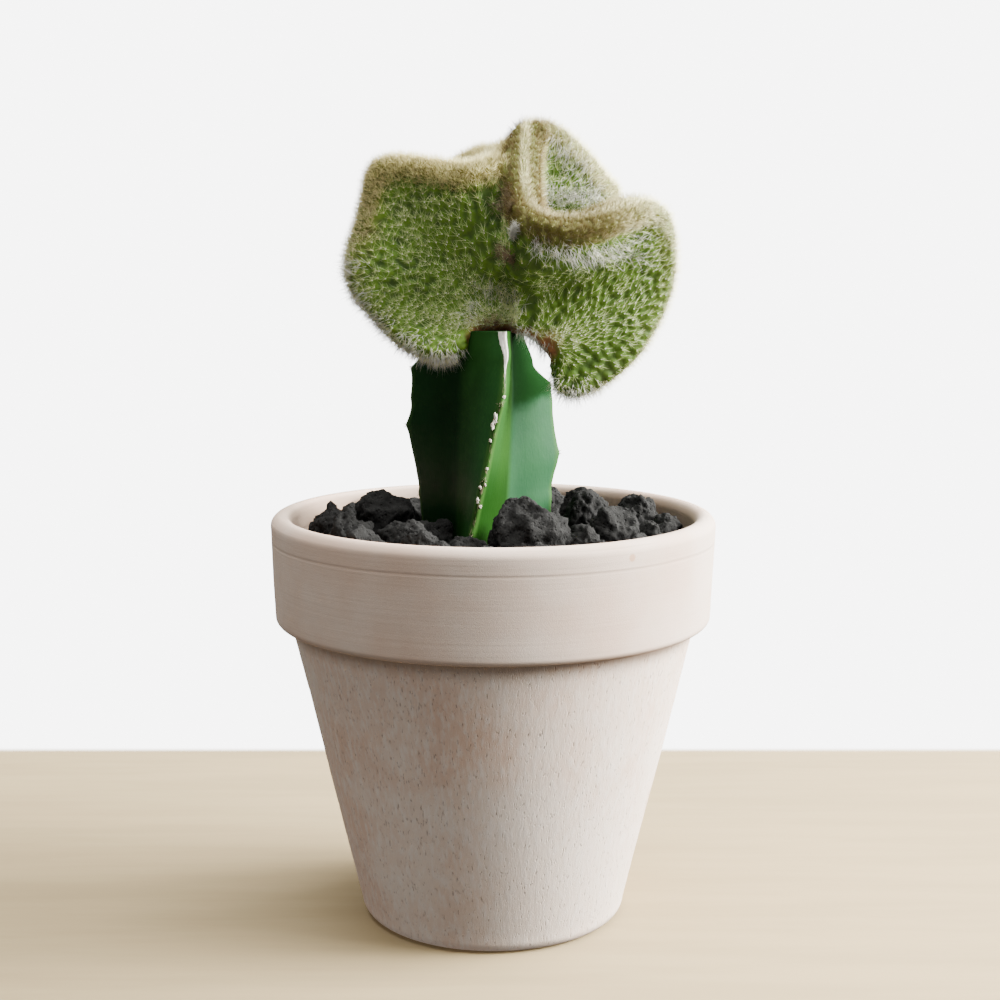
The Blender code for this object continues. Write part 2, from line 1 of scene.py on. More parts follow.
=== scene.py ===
import bisect
import math
import random

import bmesh
import bpy
import numpy as np
from mathutils import Matrix, Vector, noise
from mathutils.bvhtree import BVHTree
from mathutils.kdtree import KDTree


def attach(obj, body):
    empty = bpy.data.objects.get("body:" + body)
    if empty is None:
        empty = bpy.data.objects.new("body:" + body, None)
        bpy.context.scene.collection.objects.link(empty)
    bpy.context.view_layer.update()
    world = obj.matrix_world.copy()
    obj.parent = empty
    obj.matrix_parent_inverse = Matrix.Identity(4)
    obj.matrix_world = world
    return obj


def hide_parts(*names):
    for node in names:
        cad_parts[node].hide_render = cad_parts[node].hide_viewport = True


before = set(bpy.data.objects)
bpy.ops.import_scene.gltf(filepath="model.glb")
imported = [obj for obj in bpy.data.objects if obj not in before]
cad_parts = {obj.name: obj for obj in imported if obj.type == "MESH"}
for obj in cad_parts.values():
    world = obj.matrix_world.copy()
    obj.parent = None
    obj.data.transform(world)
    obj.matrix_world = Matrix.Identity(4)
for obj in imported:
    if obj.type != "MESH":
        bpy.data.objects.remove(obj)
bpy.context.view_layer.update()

bl_info = {
    "name": "Potted crested cactus",
    "version": (1, 0, 0),
    "blender": (4, 5, 0),
    "location": "View3D > Sidebar > Cactus",
    "description": "Builds a spiny crested cactus, grafted on a three-ribbed stem, in a clay pot with lava stones",
    "category": "Object",
}

MILLIMETRE = 0.001
FULL_TURN = 6.28  # near enough for a random roll

# Pot, the same turned profile as the solid's
POT_HEIGHT = 0.102
RIM_RADIUS = 0.055
LIP_RADIUS = 0.00265
BAND_BOTTOM = 0.0754
BAND_FOOT_RADIUS = 0.054
BAND_ROUNDING = 0.0015
BAND_FILLET = 0.0008
BODY_TOP_RADIUS = 0.0502
BASE_RADIUS = 0.0334
BASE_ROUNDING = 0.0035
FLOOR_THICKNESS = 0.007
FLOOR_CORNER = 0.0045
WALL = 0.005
DRAIN_RADIUS = 0.0065
DRAIN_CHAMFER = 0.001
SHOULDER_BOTTOM = 0.071
SHOULDER_TOP = 0.080
SHOULDER_LEAN = 0.0006
PROFILE_STEP = 0.0022  # longest stretch of the turned profile between two points
SCORED_LINE = 0.0958  # height of the line that the turner scored round the band
CHIP, CHIP_RADIUS = (0.0308, -0.0454, 0.0985), 0.0012  # a small chip in the band, and its size

# Soil, grit and stones
SOIL_TOP = 0.0905
GRIT_REACH = 0.0482  # how far from the pot's middle the grit lies
GRIT_OVERHANG = 0.0008  # how far a grain may stand out past that
GRIT_TRIES = 60000
SMALL_GRIT, LARGE_GRIT = (0.0006, 0.0019), (0.0015, 0.0027)
SMALL_GRIT_SHARE = 0.7
LARGE_STONES = 12  # the first stones are the largest and get finer faces
LARGE_CUTS, SMALL_CUTS = 7, 5  # cuts in each edge of a stone's solid
STONE_ROUNDS = 3  # of smoothing
STONE_SHIFT = 3.7  # way through the noise from one stone to the next
STONE_SINK = 0.0004  # how far a stone may reach into the soil

# Stock
STOCK_FOOT = 0.0665
STOCK_TOP = 0.1468
STOCK_CENTRE = (-0.0022, 0.0015)
STOCK_VALLEY = 0.0066  # radius of the valleys between the ribs
VALLEY_TURN = 60.0  # degrees from a rib to the valley after it
RIB_TIP_HALF = 0.0011
RIB_TIP_ROUNDING = 0.0012
RIB_TIP_FLAT = 0.4  # share of the tip's width that its end keeps
RIB_WAIST_HALF = 0.0031
RIB_WAIST_PLACE = 0.45  # share of the way from the valley to the tip
# Each rib's compass angles at the soil and at the cut top, then (height, tip radius) from foot to top
STOCK_RIBS = {
    "front": ((-105.0, -66.0), ((0.066, 0.0170), (0.092, 0.0182), (0.099, 0.0190), (0.112, 0.0198),
                                (0.121, 0.0188), (0.132, 0.0190), (0.140, 0.0158), (0.1468, 0.0120))),
    "right": ((13.0, 39.0), ((0.066, 0.0160), (0.096, 0.0174), (0.106, 0.0180), (0.1155, 0.0204),
                             (0.124, 0.0198), (0.132, 0.0198), (0.138, 0.0148), (0.1468, 0.0120))),
    "left": ((131.0, 157.0), ((0.066, 0.0215), (0.096, 0.0232), (0.107, 0.0226), (0.122, 0.0238),
                              (0.128, 0.0218), (0.136, 0.0208), (0.142, 0.0165), (0.1468, 0.0114))),
}
AREOLE_HEIGHTS = {"front": (0.099, 0.112, 0.130), "right": (0.1155, 0.133), "left": (0.104, 0.122, 0.137)}
SWELLING_REACH, SWELLING_HEIGHT = 0.0026, 0.0006  # the rib's edge swells round each areole
WAVE_BOTTOM, WAVE_HEIGHT, WAVES = 0.094, 0.00025, 260  # the ribs' edges wave above that height
BRISTLES, BRISTLE_RADIUS = 16, 0.00009  # the number is that of each areole on the stem
FLAKE_HALF_WIDTHS = (0.00038, 0.00030)
# Dried white flakes beside the front rib's edge, as (height, way round from the edge, length)
SCARS = ((0.1318, 0.0002, 0.0010), (0.1268, -0.0006, 0.0030), (0.1250, -0.0009, 0.0022), (0.1215, -0.0006, 0.0007),
         (0.1149, 0.0001, 0.0007), (0.1120, 0.0002, 0.0022), (0.1105, -0.0005, 0.0012), (0.1072, -0.0003, 0.0016),
         (0.1058, 0.0006, 0.0007))
CUT_BOTTOM = 0.1340  # lower end of the corky cut along the front rib's edge

# Crest, its growing edge as (X, Y, Z, lift), as in the solid's source
CREST_EDGE = (
    (-0.0058, -0.0040, 0.1420, 0.0), (-0.0132, -0.0046, 0.1395, 0.0), (-0.0222, -0.0035, 0.1430, 0.0),
    (-0.0292, -0.0010, 0.1497, 0.0), (-0.0350, 0.0000, 0.1570, 0.0), (-0.0358, 0.0000, 0.1655, 0.0),
    (-0.0332, 0.0010, 0.1725, 0.0), (-0.0312, 0.0015, 0.1805, 0.0), (-0.0293, 0.0015, 0.1868, 0.0),
    (-0.0232, 0.0005, 0.1886, 0.0), (-0.0128, -0.0010, 0.1872, 0.0), (-0.0068, -0.0020, 0.1866, 0.0),
    (-0.0025, -0.0010, 0.1874, 0.0), (-0.0006, 0.0040, 0.1888, 0.0), (-0.0012, 0.0090, 0.1910, 0.0),
    (-0.0045, 0.0125, 0.1905, 0.0), (-0.0078, 0.0180, 0.1885, 0.0), (-0.0050, 0.0240, 0.1895, 0.0),
    (0.0020, 0.0265, 0.1930, 0.0), (0.0100, 0.0270, 0.1952, 0.0), (0.0190, 0.0265, 0.1925, 0.0),
    (0.0268, 0.0235, 0.1865, 0.0), (0.0290, 0.0175, 0.1825, 0.0), (0.0268, 0.0125, 0.1845, 0.0),
    (0.0230, 0.0112, 0.1900, 0.0), (0.0170, 0.0108, 0.1952, 0.0), (0.0112, 0.0095, 0.1975, 0.0),
    (0.0082, 0.0060, 0.1968, 0.0), (0.0076, 0.0010, 0.1910, 0.0), (0.0074, -0.0045, 0.1845, 0.0),
    (0.0078, -0.0100, 0.1790, 0.0), (0.0092, -0.0145, 0.1755, 0.002), (0.0130, -0.0165, 0.1734, 0.004),
    (0.0185, -0.0168, 0.1730, 0.005), (0.0250, -0.0152, 0.1743, 0.005), (0.0310, -0.0118, 0.1765, 0.003),
    (0.0362, -0.0080, 0.1776, 0.001), (0.0408, -0.0050, 0.1756, 0.0), (0.0430, -0.0020, 0.1702, 0.0),
    (0.0440, 0.0000, 0.1630, 0.0), (0.0432, 0.0000, 0.1562, 0.0), (0.0400, -0.0010, 0.1480, 0.0),
    (0.0355, -0.0020, 0.1412, 0.0), (0.0296, -0.0030, 0.1355, 0.0), (0.0240, -0.0034, 0.1318, 0.0),
    (0.0195, -0.0036, 0.1309, 0.0), (0.0160, -0.0036, 0.1320, 0.0), (0.0146, -0.0036, 0.1345, 0.0),
)
CREST_BASE = ((-0.0040, -0.0010, 0.1464), (0.0020, 0.0005, 0.1464), (0.0088, -0.0015, 0.1450),
              (0.0144, -0.0034, 0.1428))
LIFT_WAY = (0.0, 0.5, 1.0)  # the way in which an edge point's lift pushes the sheet below it
CREST_THICKNESS = 0.0074
HALF_THICKNESS = CREST_THICKNESS / 2
QUARTER_ROUND = HALF_THICKNESS * math.pi / 2  # way from the rim's middle round to the crest's face
SEAT_DEPTH, SEAT_GAP = 0.0004, 0.0001  # how far the stem reaches into the crest, and the gap round it
CREST_CALM = 110  # rounds of smoothing that make a calm edge of the folded one
CALM_DEPTH = 0.3  # share of its depth that the calm edge keeps
FOLD_FOOT = 0.1575  # height at which the folds start
FOLD_RISE = 0.70  # height over which a fold opens, as a share of its size
FOLD_LEAST = 0.007  # the least such height
FOLD_SHARE = 0.3  # share of the way to the edge from which a lower fold opens
CREST_COLUMNS = 150
CREST_ROWS = 16
CREST_VOXEL = 0.0018
SOFTEN_FACTOR, SOFTEN_ROUNDS = 0.5, 3
PATH_STEPS = 24
# How the growing edge looks, as (share of its length, growth, tan, brightness, brightness of its crown); the crown's
# brightness is partly a painted highlight of the lit rim
EDGE_LOOKS = (
    (0.000, 0.04, 0.0, 1.0, 1.0), (0.080, 0.08, 0.0, 1.0, 1.0), (0.130, 0.22, 0.3, 1.0, 1.0),
    (0.160, 0.45, 0.7, 1.0, 1.0), (0.200, 0.85, 1.0, 1.0, 1.0), (0.224, 1.00, 1.0, 1.0, 1.0),
    (0.330, 1.00, 0.9, 1.0, 1.0), (0.430, 1.00, 0.8, 0.8, 1.0), (0.500, 0.75, 0.3, 1.0, 1.0),
    (0.565, 0.65, 0.1, 1.0, 1.0), (0.585, 0.60, 0.5, 0.4, 1.0), (0.605, 0.60, 0.9, 0.15, 1.0),
    (0.660, 0.60, 0.9, 0.1, 1.0), (0.685, 0.80, 1.0, 0.05, 0.35), (0.745, 0.90, 1.0, 0.1, 0.40),
    (0.775, 0.80, 0.5, 0.7, 1.0), (0.800, 0.60, 0.0, 1.0, 1.0), (0.830, 0.30, 0.0, 1.0, 1.0),
    (0.870, 0.16, 0.0, 1.0, 1.0), (0.920, 0.07, 0.0, 1.0, 1.0), (1.000, 0.04, 0.0, 1.0, 1.0),
)
AREOLE_JITTER = 0.34  # how far areoles stray from their rings, as a share of their spacing
FUR_REACH = 0.0036  # how far the young spines reach from the rim onto the crest's faces
FUR_LEAN, WOOL_LEAN = 0.22, 0.38  # how far the hairs lean each its own way
AREOLE_SKIN, FUR_SKIN = 1.45, 1.6  # farthest skin that carries them, in half thicknesses
ROOT_DEPTH = 0.0002  # how deep a hair starts in the flesh
RIM_REACH = 0.009  # way from the crown over which full-grown spines take on the rim's colours
STEM_CLEARANCE = 0.0004  # least way from the stem to an areole
CUSHION_RADIUS, CUSHION_SPREAD = 0.00013, 0.00007  # the smallest cushion of wool, and how much larger others are
# Where the spines stand thinner, as (place, radius, share left out in its middle); below 0 they stand closer
SPARSE = (((0.0151, -0.0050, 0.1574), 0.013, 0.65), ((-0.0070, -0.0030, 0.1680), 0.012, 0.55),
          ((0.0240, -0.0045, 0.1450), 0.011, 0.40), ((0.0200, 0.0160, 0.1880), 0.012, -1.0),
          ((0.0010, -0.0030, 0.1530), 0.006, -0.5), ((0.0350, -0.0040, 0.1600), 0.016, 0.60),
          ((0.0240, -0.0040, 0.1360), 0.013, 0.50))
CREVICE = (0.0022, -0.0062, 0.1770)  # middle of the gap between the left lobe and the ridge, where the young spines get painted shade
CREVICE_SHADE_REACH = 0.0060
CROWN_REACH = 0.0015  # how far the palest young spines stand to each side of the rim's middle; part of their paleness is a painted highlight
FUR_FINENESS = 0.85  # a young spine's radius as a share of a full-grown one's
HAIR_RADIUS = 0.00006
# Patches of wool: (place, radius, hairs, way, shine), in metres and a count; a longer way combs them harder
WOOL = (
    ((0.0134, 0.0053, 0.1789), 0.0036, 190, (0.2, -0.9, 0.25), 1.0),
    ((0.0175, 0.0060, 0.1785), 0.0036, 220, (0.0, -0.9, 0.25), 1.0),
    ((0.0215, 0.0065, 0.1783), 0.0036, 220, (0.0, -0.9, 0.25), 1.0),
    ((0.0255, 0.0080, 0.1786), 0.0036, 190, (-0.1, -0.9, 0.3), 1.0),
    ((0.0150, 0.0072, 0.1900), 0.0036, 80, (0.1, -0.8, 0.9), 1.0),
    ((0.0185, 0.0072, 0.1870), 0.0036, 100, (0.2, -0.8, 0.9), 1.0),
    ((0.0215, 0.0075, 0.1845), 0.0034, 80, (0.3, -0.8, 0.8), 1.0),
    ((0.0105, -0.0186, 0.1672), 0.0026, 90, (0.2, -0.6, -0.8), 0.9),
    ((0.0145, -0.0186, 0.1661), 0.0030, 80, (0.2, -0.6, -0.8), 0.95),
    ((0.0185, -0.0176, 0.1655), 0.0032, 85, (0.2, -0.6, -0.8), 1.0),
    ((0.0225, -0.0150, 0.1651), 0.0034, 85, (0.3, -0.6, -0.8), 1.0),
    ((0.0265, -0.0120, 0.1652), 0.0036, 80, (0.4, -0.6, -0.6), 0.95),
    ((0.0305, -0.0104, 0.1663), 0.0038, 60, (0.5, -0.6, -0.4), 0.9),
    ((0.0346, -0.0085, 0.1690), 0.0044, 45, (0.7, -0.5, 0.5), 0.9),
    ((0.0350, -0.0070, 0.1640), 0.0044, 40, (0.7, -0.5, 0.4), 0.9),
    ((0.0046, -0.0155, 0.1712), 0.0013, 420, (0.5, -2.6, 0.1), 1.0),
    ((0.0043, -0.0150, 0.1700), 0.0013, 380, (0.4, -2.6, 0.0), 1.0),
    ((-0.0035, -0.0034, 0.1540), 0.0036, 36, (-0.9, -0.9, 1.2), 0.95),
    ((-0.0008, -0.0031, 0.1550), 0.0036, 40, (-0.3, -0.9, 1.5), 0.95),
    ((0.0016, -0.0029, 0.1552), 0.0036, 40, (0.2, -0.9, 1.5), 0.95),
    ((0.0053, -0.0037, 0.1543), 0.0036, 40, (0.5, -0.9, 1.2), 0.95),
    ((-0.0050, -0.0036, 0.1500), 0.0034, 60, (-1.3, -0.9, 0.4), 0.95),
    ((0.0077, -0.0040, 0.1463), 0.0022, 110, (0.1, -0.9, -0.7), 0.75),
    ((0.0098, -0.0038, 0.1448), 0.0022, 110, (0.1, -0.7, -0.9), 0.7),
    ((0.0120, -0.0034, 0.1428), 0.0022, 90, (0.1, -0.7, -0.9), 0.75),
    ((-0.0180, -0.0040, 0.1420), 0.0034, 110, (-0.2, -0.5, -1.1), 1.0),
    ((-0.0140, -0.0061, 0.1404), 0.0034, 140, (0.0, -0.5, -1.1), 1.0),
    ((-0.0100, -0.0050, 0.1405), 0.0030, 120, (0.3, -0.5, -1.0), 1.0),
    ((0.0160, -0.0050, 0.1330), 0.0030, 100, (-0.5, -0.5, -0.9), 1.0),
    ((0.0190, -0.0064, 0.1317), 0.0030, 110, (-0.1, -0.5, -1.0), 1.0),
    ((0.0235, -0.0060, 0.1325), 0.0034, 90, (0.2, -0.5, -0.9), 1.0),
    ((-0.0210, -0.0060, 0.1440), 0.0036, 100, (-0.6, -0.5, -0.7), 0.9),
    ((-0.0276, -0.0030, 0.1482), 0.0038, 120, (-0.8, -0.5, -0.5), 0.9),
    ((-0.0323, -0.0029, 0.1542), 0.0040, 120, (-0.9, -0.5, -0.3), 0.9),
    ((-0.0346, -0.0030, 0.1615), 0.0040, 110, (-0.9, -0.5, 0.1), 0.85),
)
# Patches of brown wool in the crevice and on the graft, in the same form
BROWN_WOOL = (
    ((0.0016, -0.0077, 0.1662), 0.0018, 170, (-0.3, -1.0, 0.0), 0.6),
    ((0.0030, -0.0114, 0.1650), 0.0018, 200, (-0.2, -1.0, 0.1), 0.6),
    ((0.0044, -0.0145, 0.1643), 0.0018, 200, (-0.1, -1.0, 0.2), 0.6),
    # painted shade: these patches deep in the crevice have a low shine
    ((0.0016, -0.0060, 0.1765), 0.0024, 220, (-0.3, -1.0, 0.0), 0.2),
    ((0.0028, -0.0070, 0.1790), 0.0024, 220, (-0.3, -1.0, 0.2), 0.2),
    ((0.0036, -0.0110, 0.1760), 0.0022, 160, (-0.3, -1.0, 0.2), 0.2),
    ((-0.0015, -0.0031, 0.1482), 0.0018, 150, (-0.2, -1.0, 0.3), 0.9),
    ((0.0004, -0.0033, 0.1492), 0.0018, 170, (0.0, -1.0, 0.3), 0.9),
    ((0.0046, -0.0035, 0.1482), 0.0014, 90, (0.3, -1.0, -0.1), 0.7),
)

# Stage
LIGHT_DISTANCE = 1.1
LIGHT_AIM = 0.1  # height of the point that the lights face
# Each light's name, azimuth and elevation in degrees, and width
LIGHTS = (("window", 79.0, 26.0, 0.58), ("side", 95.0, 22.0, 0.62), ("rim", 120.0, 32.0, 0.62),
          ("top", 0.0, 88.0, 1.0))
LIGHT_COLOUR = (1.0, 0.985, 0.955)
BACKDROP_BRIGHTNESS = 7.0
FLOOR_HALF = 0.6
CAMERA_PLACE = (0.0, -0.4073, 0.1649)
CAMERA_DIP = 0.1466  # how far the camera looks down, in radians
CAMERA_LENS, CAMERA_SENSOR, CAMERA_SHIFT = 59.594, 36.0, 0.0068


# Settings

class PotSettings(bpy.types.PropertyGroup):
    """Sizes and colours of the clay pot"""
    steps: bpy.props.IntProperty(
        name="Steps round", description="Faces round the turned pot", default=192, min=24)
    wobble: bpy.props.FloatProperty(
        name="Wobble", description="How far the hand-turned wall strays from a true circle",
        default=0.00018, unit="LENGTH")
    clay: bpy.props.FloatVectorProperty(
        name="Clay", description="Colour of the bare clay", subtype="COLOR", size=3, default=(0.69, 0.475, 0.35))
    wash: bpy.props.FloatVectorProperty(
        name="Wash", description="Colour of the pale bloom over the clay", subtype="COLOR", size=3,
        default=(0.80, 0.67, 0.555))
    # the grime colour is dirt in the pits and rings, and painted shade under the band
    grime_and_shade: bpy.props.FloatVectorProperty(
        name="Grime", description="Colour of the dirt under the band and in the pits", subtype="COLOR", size=3,
        default=(0.20, 0.135, 0.09))


class StoneSettings(bpy.types.PropertyGroup):
    """Sizes and colours of the stones, the grit and the soil"""
    roughness: bpy.props.FloatProperty(
        name="Ruggedness", description="Height of the stones' lumps", default=0.0012, unit="LENGTH")
    pits: bpy.props.FloatProperty(
        name="Pits", description="Depth of the gas bubbles in the lava", default=0.0008, unit="LENGTH")
    grit_count: bpy.props.IntProperty(
        name="Grit", description="Small pieces of gravel between the stones", default=620, min=0)
    dark: bpy.props.FloatVectorProperty(
        name="Dark lava", description="Colour in the pits", subtype="COLOR", size=3, default=(0.012, 0.012, 0.0115))
    pale: bpy.props.FloatVectorProperty(
        name="Pale lava", description="Colour of the dusty raised parts", subtype="COLOR", size=3,
        default=(0.021, 0.021, 0.0205))


class StockSettings(bpy.types.PropertyGroup):
    """Colours of the three-ribbed stem"""
    skin: bpy.props.FloatVectorProperty(
        name="Skin", description="Colour of the ribs' flanks", subtype="COLOR", size=3, default=(0.009, 0.052, 0.014))
    shade: bpy.props.FloatVectorProperty(
        name="Valley", description="Colour down in the valleys", subtype="COLOR", size=3, default=(0.004, 0.028, 0.006))
    ridge: bpy.props.FloatVectorProperty(
        name="Ridge", description="Colour of the young skin along the ribs' edges", subtype="COLOR", size=3,
        default=(0.042, 0.105, 0.020))
    cork: bpy.props.FloatVectorProperty(
        name="Cork", description="Colour of the healed cut and the scars", subtype="COLOR", size=3,
        default=(0.80, 0.77, 0.70))


class CrestSettings(bpy.types.PropertyGroup):
    """Sizes and colours of the crest's flesh"""
    tubercle_spacing: bpy.props.FloatProperty(
        name="Tubercle spacing", description="Way from one tubercle to the next", default=0.0022, unit="LENGTH")
    tubercle_height: bpy.props.FloatProperty(
        name="Tubercle height", description="How far the tubercles stand out", default=0.0005, unit="LENGTH")
    green: bpy.props.FloatVectorProperty(
        name="Green", description="Colour on top of the tubercles", subtype="COLOR", size=3,
        default=(0.105, 0.208, 0.012))
    dark_green: bpy.props.FloatVectorProperty(
        name="Dark green", description="Colour between the tubercles", subtype="COLOR", size=3,
        default=(0.026, 0.060, 0.005))
    olive: bpy.props.FloatVectorProperty(
        name="Olive", description="Colour of the young flesh at the growing edge", subtype="COLOR", size=3,
        default=(0.16, 0.13, 0.028))
    callus: bpy.props.FloatVectorProperty(
        name="Callus", description="Colour of the healed graft", subtype="COLOR", size=3, default=(0.34, 0.13, 0.06))


class SpineSettings(bpy.types.PropertyGroup):
    """Sizes and colours of the spines, the fur and the wool"""
    spine_length: bpy.props.FloatProperty(
        name="Spine length", description="Length of a full-grown spine", default=0.0030, unit="LENGTH")
    spine_radius: bpy.props.FloatProperty(
        name="Spine radius", description="Radius at a spine's foot", default=0.000056, unit="LENGTH")
    spine_count: bpy.props.IntProperty(
        name="Spines each", description="Spines on each areole", default=7, min=1)
    fur_count: bpy.props.IntProperty(
        name="Edge spines", description="Young spines along the growing edge", default=46000, min=1)
    fur_length: bpy.props.FloatProperty(
        name="Edge spine length", description="Length of the young spines", default=0.0026, unit="LENGTH")
    wool_length: bpy.props.FloatProperty(
        name="Wool length", description="Length of the woolly hairs", default=0.0040, unit="LENGTH")
    cream: bpy.props.FloatVectorProperty(
        name="Cream", description="Colour of the full-grown spines", subtype="COLOR", size=3,
        default=(0.76, 0.84, 0.42))
    edge_cream: bpy.props.FloatVectorProperty(
        name="Edge cream", description="Colour of the palest young spines", subtype="COLOR", size=3,
        default=(0.90, 0.87, 0.54))
    tan: bpy.props.FloatVectorProperty(
        name="Tan", description="Colour of the young spines", subtype="COLOR", size=3, default=(0.92, 0.80, 0.35))
    white: bpy.props.FloatVectorProperty(
        name="White", description="Colour of the wool", subtype="COLOR", size=3, default=(0.88, 0.87, 0.78))
    brown: bpy.props.FloatVectorProperty(
        name="Brown", description="Colour of the old wool in the crevice and at the graft", subtype="COLOR", size=3,
        default=(0.20, 0.115, 0.045))


class StageSettings(bpy.types.PropertyGroup):
    """Floor, lights and camera"""
    floor: bpy.props.FloatVectorProperty(
        name="Floor", description="Colour of the plain pale floor", subtype="COLOR", size=3,
        default=(0.40, 0.31, 0.172))
    window_power: bpy.props.FloatProperty(
        name="Window", description="Power of the soft light from the front right, in watts", default=34.0, min=0.0)
    side_power: bpy.props.FloatProperty(
        name="Side light", description="Power of the soft light from the right, in watts", default=74.0, min=0.0)
    rim_power: bpy.props.FloatProperty(
        name="Rim light", description="Power of the soft light from behind on the right, in watts", default=17.0,
        min=0.0)
    top_power: bpy.props.FloatProperty(
        name="Top light", description="Power of the soft light from above, in watts", default=30.0, min=0.0)
    room: bpy.props.FloatProperty(
        name="Room light", description="Strength of the white room's light", default=0.31, min=0.0)


# Materials

class Value:
    """A number in a material, so that shader maths reads as plain sums."""

    def __init__(self, finish, socket):
        self.finish, self.socket = finish, socket

    def worked(self, operation, *others):
        return self.finish.node("ShaderNodeMath", {"operation": operation}, dict(enumerate((self,) + others)))

    def __add__(self, other):
        return self.worked("ADD", other)

    def __sub__(self, other):
        return self.worked("SUBTRACT", other)

    def __rsub__(self, other):
        return self.worked("MULTIPLY_ADD", -1.0, other)

    def __mul__(self, other):
        return self.worked("MULTIPLY", other)

    __radd__ = __add__
    __rmul__ = __mul__

    def size(self):
        """The number without its sign."""
        return self.worked("ABSOLUTE")

    def within(self, low, high):
        """0 at low and 1 at high, with a smooth way between them."""
        return self.finish.node("ShaderNodeMapRange", {"interpolation_type": "SMOOTHSTEP"},
                                {"Value": self, "From Min": low, "From Max": high})


class Finish:
    """A node material with one method for its nodes."""

    def __init__(self, name, **constants):
        self.material = bpy.data.materials.new(name)
        self.material.use_nodes = True
        self.tree = self.material.node_tree
        self.shader = next(n for n in self.tree.nodes if n.type == "BSDF_PRINCIPLED")
        self.place = self.node("ShaderNodeTexCoord", output="Object")
        for socket, value in constants.items():
            self.shader.inputs[socket.replace("_", " ")].default_value = value

    def node(self, kind, settings=None, sockets=None, output=0):
        made = self.tree.nodes.new(kind)
        for name, value in (settings or {}).items():
            setattr(made, name, value)
        for name, value in (sockets or {}).items():
            self.feed(made.inputs[name], value)
        return Value(self, made.outputs[output])

    def feed(self, socket, value):
        if isinstance(value, Value):
            self.tree.links.new(value.socket, socket)
        elif socket.type == "RGBA":
            socket.default_value = (*value, 1.0)
        else:
            socket.default_value = value

    def shades(self, **values):
        for socket, value in values.items():
            self.feed(self.shader.inputs[socket.replace("_", " ")], value)

    def stretched(self, scale):
        return self.node("ShaderNodeVectorMath", {"operation": "MULTIPLY"}, {0: self.place, 1: scale})

    def noise(self, scale, detail=3.0, roughness=0.55, stretch=None):
        place = self.stretched(stretch) if stretch else self.place
        return self.node("ShaderNodeTexNoise", None,
                         {"Vector": place, "Scale": scale, "Detail": detail, "Roughness": roughness}, "Fac")

    def cells(self, scale):
        return self.node("ShaderNodeTexVoronoi", None, {"Vector": self.place, "Scale": scale}, "Distance")

    def along(self, axis):
        return self.node("ShaderNodeSeparateXYZ", None, {0: self.place}, axis)

    def distance(self, spot):
        return self.node("ShaderNodeVectorMath", {"operation": "DISTANCE"}, {0: self.place, 1: spot}, "Value")

    def off_axis(self):
        """The distance from the pot's upright axis."""
        flat = self.stretched((1.0, 1.0, 0.0))
        return self.node("ShaderNodeVectorMath", {"operation": "LENGTH"}, {0: flat}, "Value")

    def read(self, name):
        return self.node("ShaderNodeAttribute", {"attribute_name": name}, None, "Fac")

    def mix(self, share, low, high):
        return self.node("ShaderNodeMix", {"data_type": "RGBA"}, {0: share, 6: low, 7: high}, 2)

    def bump(self, height, distance, strength=1.0):
        self.shades(Normal=self.node("ShaderNodeBump", None,
                                     {"Height": height, "Distance": distance, "Strength": strength}))


def clay_finish(colours):
    clay = Finish("washed_clay", Specular_IOR_Level=0.2)
    z, out = clay.along("Z"), clay.off_axis()
    body = 1 - z.within(0.0735, 0.0752)
    streaks = clay.noise(900.0, 3.0, 0.6, (1.0, 1.0, 0.16))
    ticks = clay.noise(2300.0, 2.0, 0.5, (1.0, 1.0, 0.17)).within(0.60, 0.74)
    patches = clay.noise(42.0, 4.0, 0.6)
    broad = clay.noise(17.0, 3.0, 0.5, (1.0, 1.0, 0.6))
    rings = clay.noise(1.0, 4.0, 0.6, (12.0, 12.0, 900.0))
    colour = clay.mix((broad * 0.55 + patches * 0.45).within(0.36, 0.62), colours.clay, colours.wash)
    colour = clay.mix((1 - body) * 0.42, colour, (0.52, 0.41, 0.34))
    colour = clay.mix(streaks.within(0.42, 0.70) * 0.42 * body, colour, (0.86, 0.775, 0.69))
    colour = clay.mix(ticks * 0.5 * body, colour, colours.grime_and_shade)
    colour = clay.mix(rings.within(0.58, 0.72) * z.within(0.090, 0.096) * 0.22, colour, colours.grime_and_shade)
    # painted shade: a brown line round the band's underside and the body just below it
    colour = clay.mix((1 - (z - 0.0750).size().within(0.0, 0.0026)) * (patches * 0.9 + 0.25),
                      colour, (0.25, 0.15, 0.08))
    # grime patches and painted shade on the body just under the band
    colour = clay.mix(z.within(0.0700, 0.0742) * body * (broad * 0.8 + 0.1), colour, colours.grime_and_shade)
    line = 1 - (z - SCORED_LINE + (broad - 0.5) * 0.0006).size().within(0.0, 0.0006)
    colour = clay.mix(line * patches.within(0.3, 0.6) * 0.2, colour, colours.grime_and_shade)
    chip = 1 - clay.distance(CHIP).within(CHIP_RADIUS / 2, CHIP_RADIUS)
    colour = clay.mix(chip * 0.6, colour, (0.50, 0.25, 0.11))
    colour = clay.mix((1 - z.within(0.0, 0.036)) * (broad * 0.3), colour, (0.52, 0.35, 0.23))
    # painted shade: darker inside the rim and in the corner under the band
    colour = clay.mix((1 - out.within(0.0500, 0.0512)) * z.within(0.070, 0.080) * 0.7, colour, (0.26, 0.19, 0.14))
    colour = clay.mix((1 - z.within(0.0, 0.004)) * patches.within(0.4, 0.7) * 0.5, colour, colours.grime_and_shade)
    clay.shades(Base_Color=colour, Roughness=patches * 0.12 + 0.84)
    grain = clay.noise(5200.0, 2.0, 0.6)
    relief = grain * 0.25 + streaks * 0.5 * body - ticks * 0.6 * body + rings * 0.3 * (1 - body) - line * 0.3
    clay.bump(relief, 0.00022)
    return clay.material


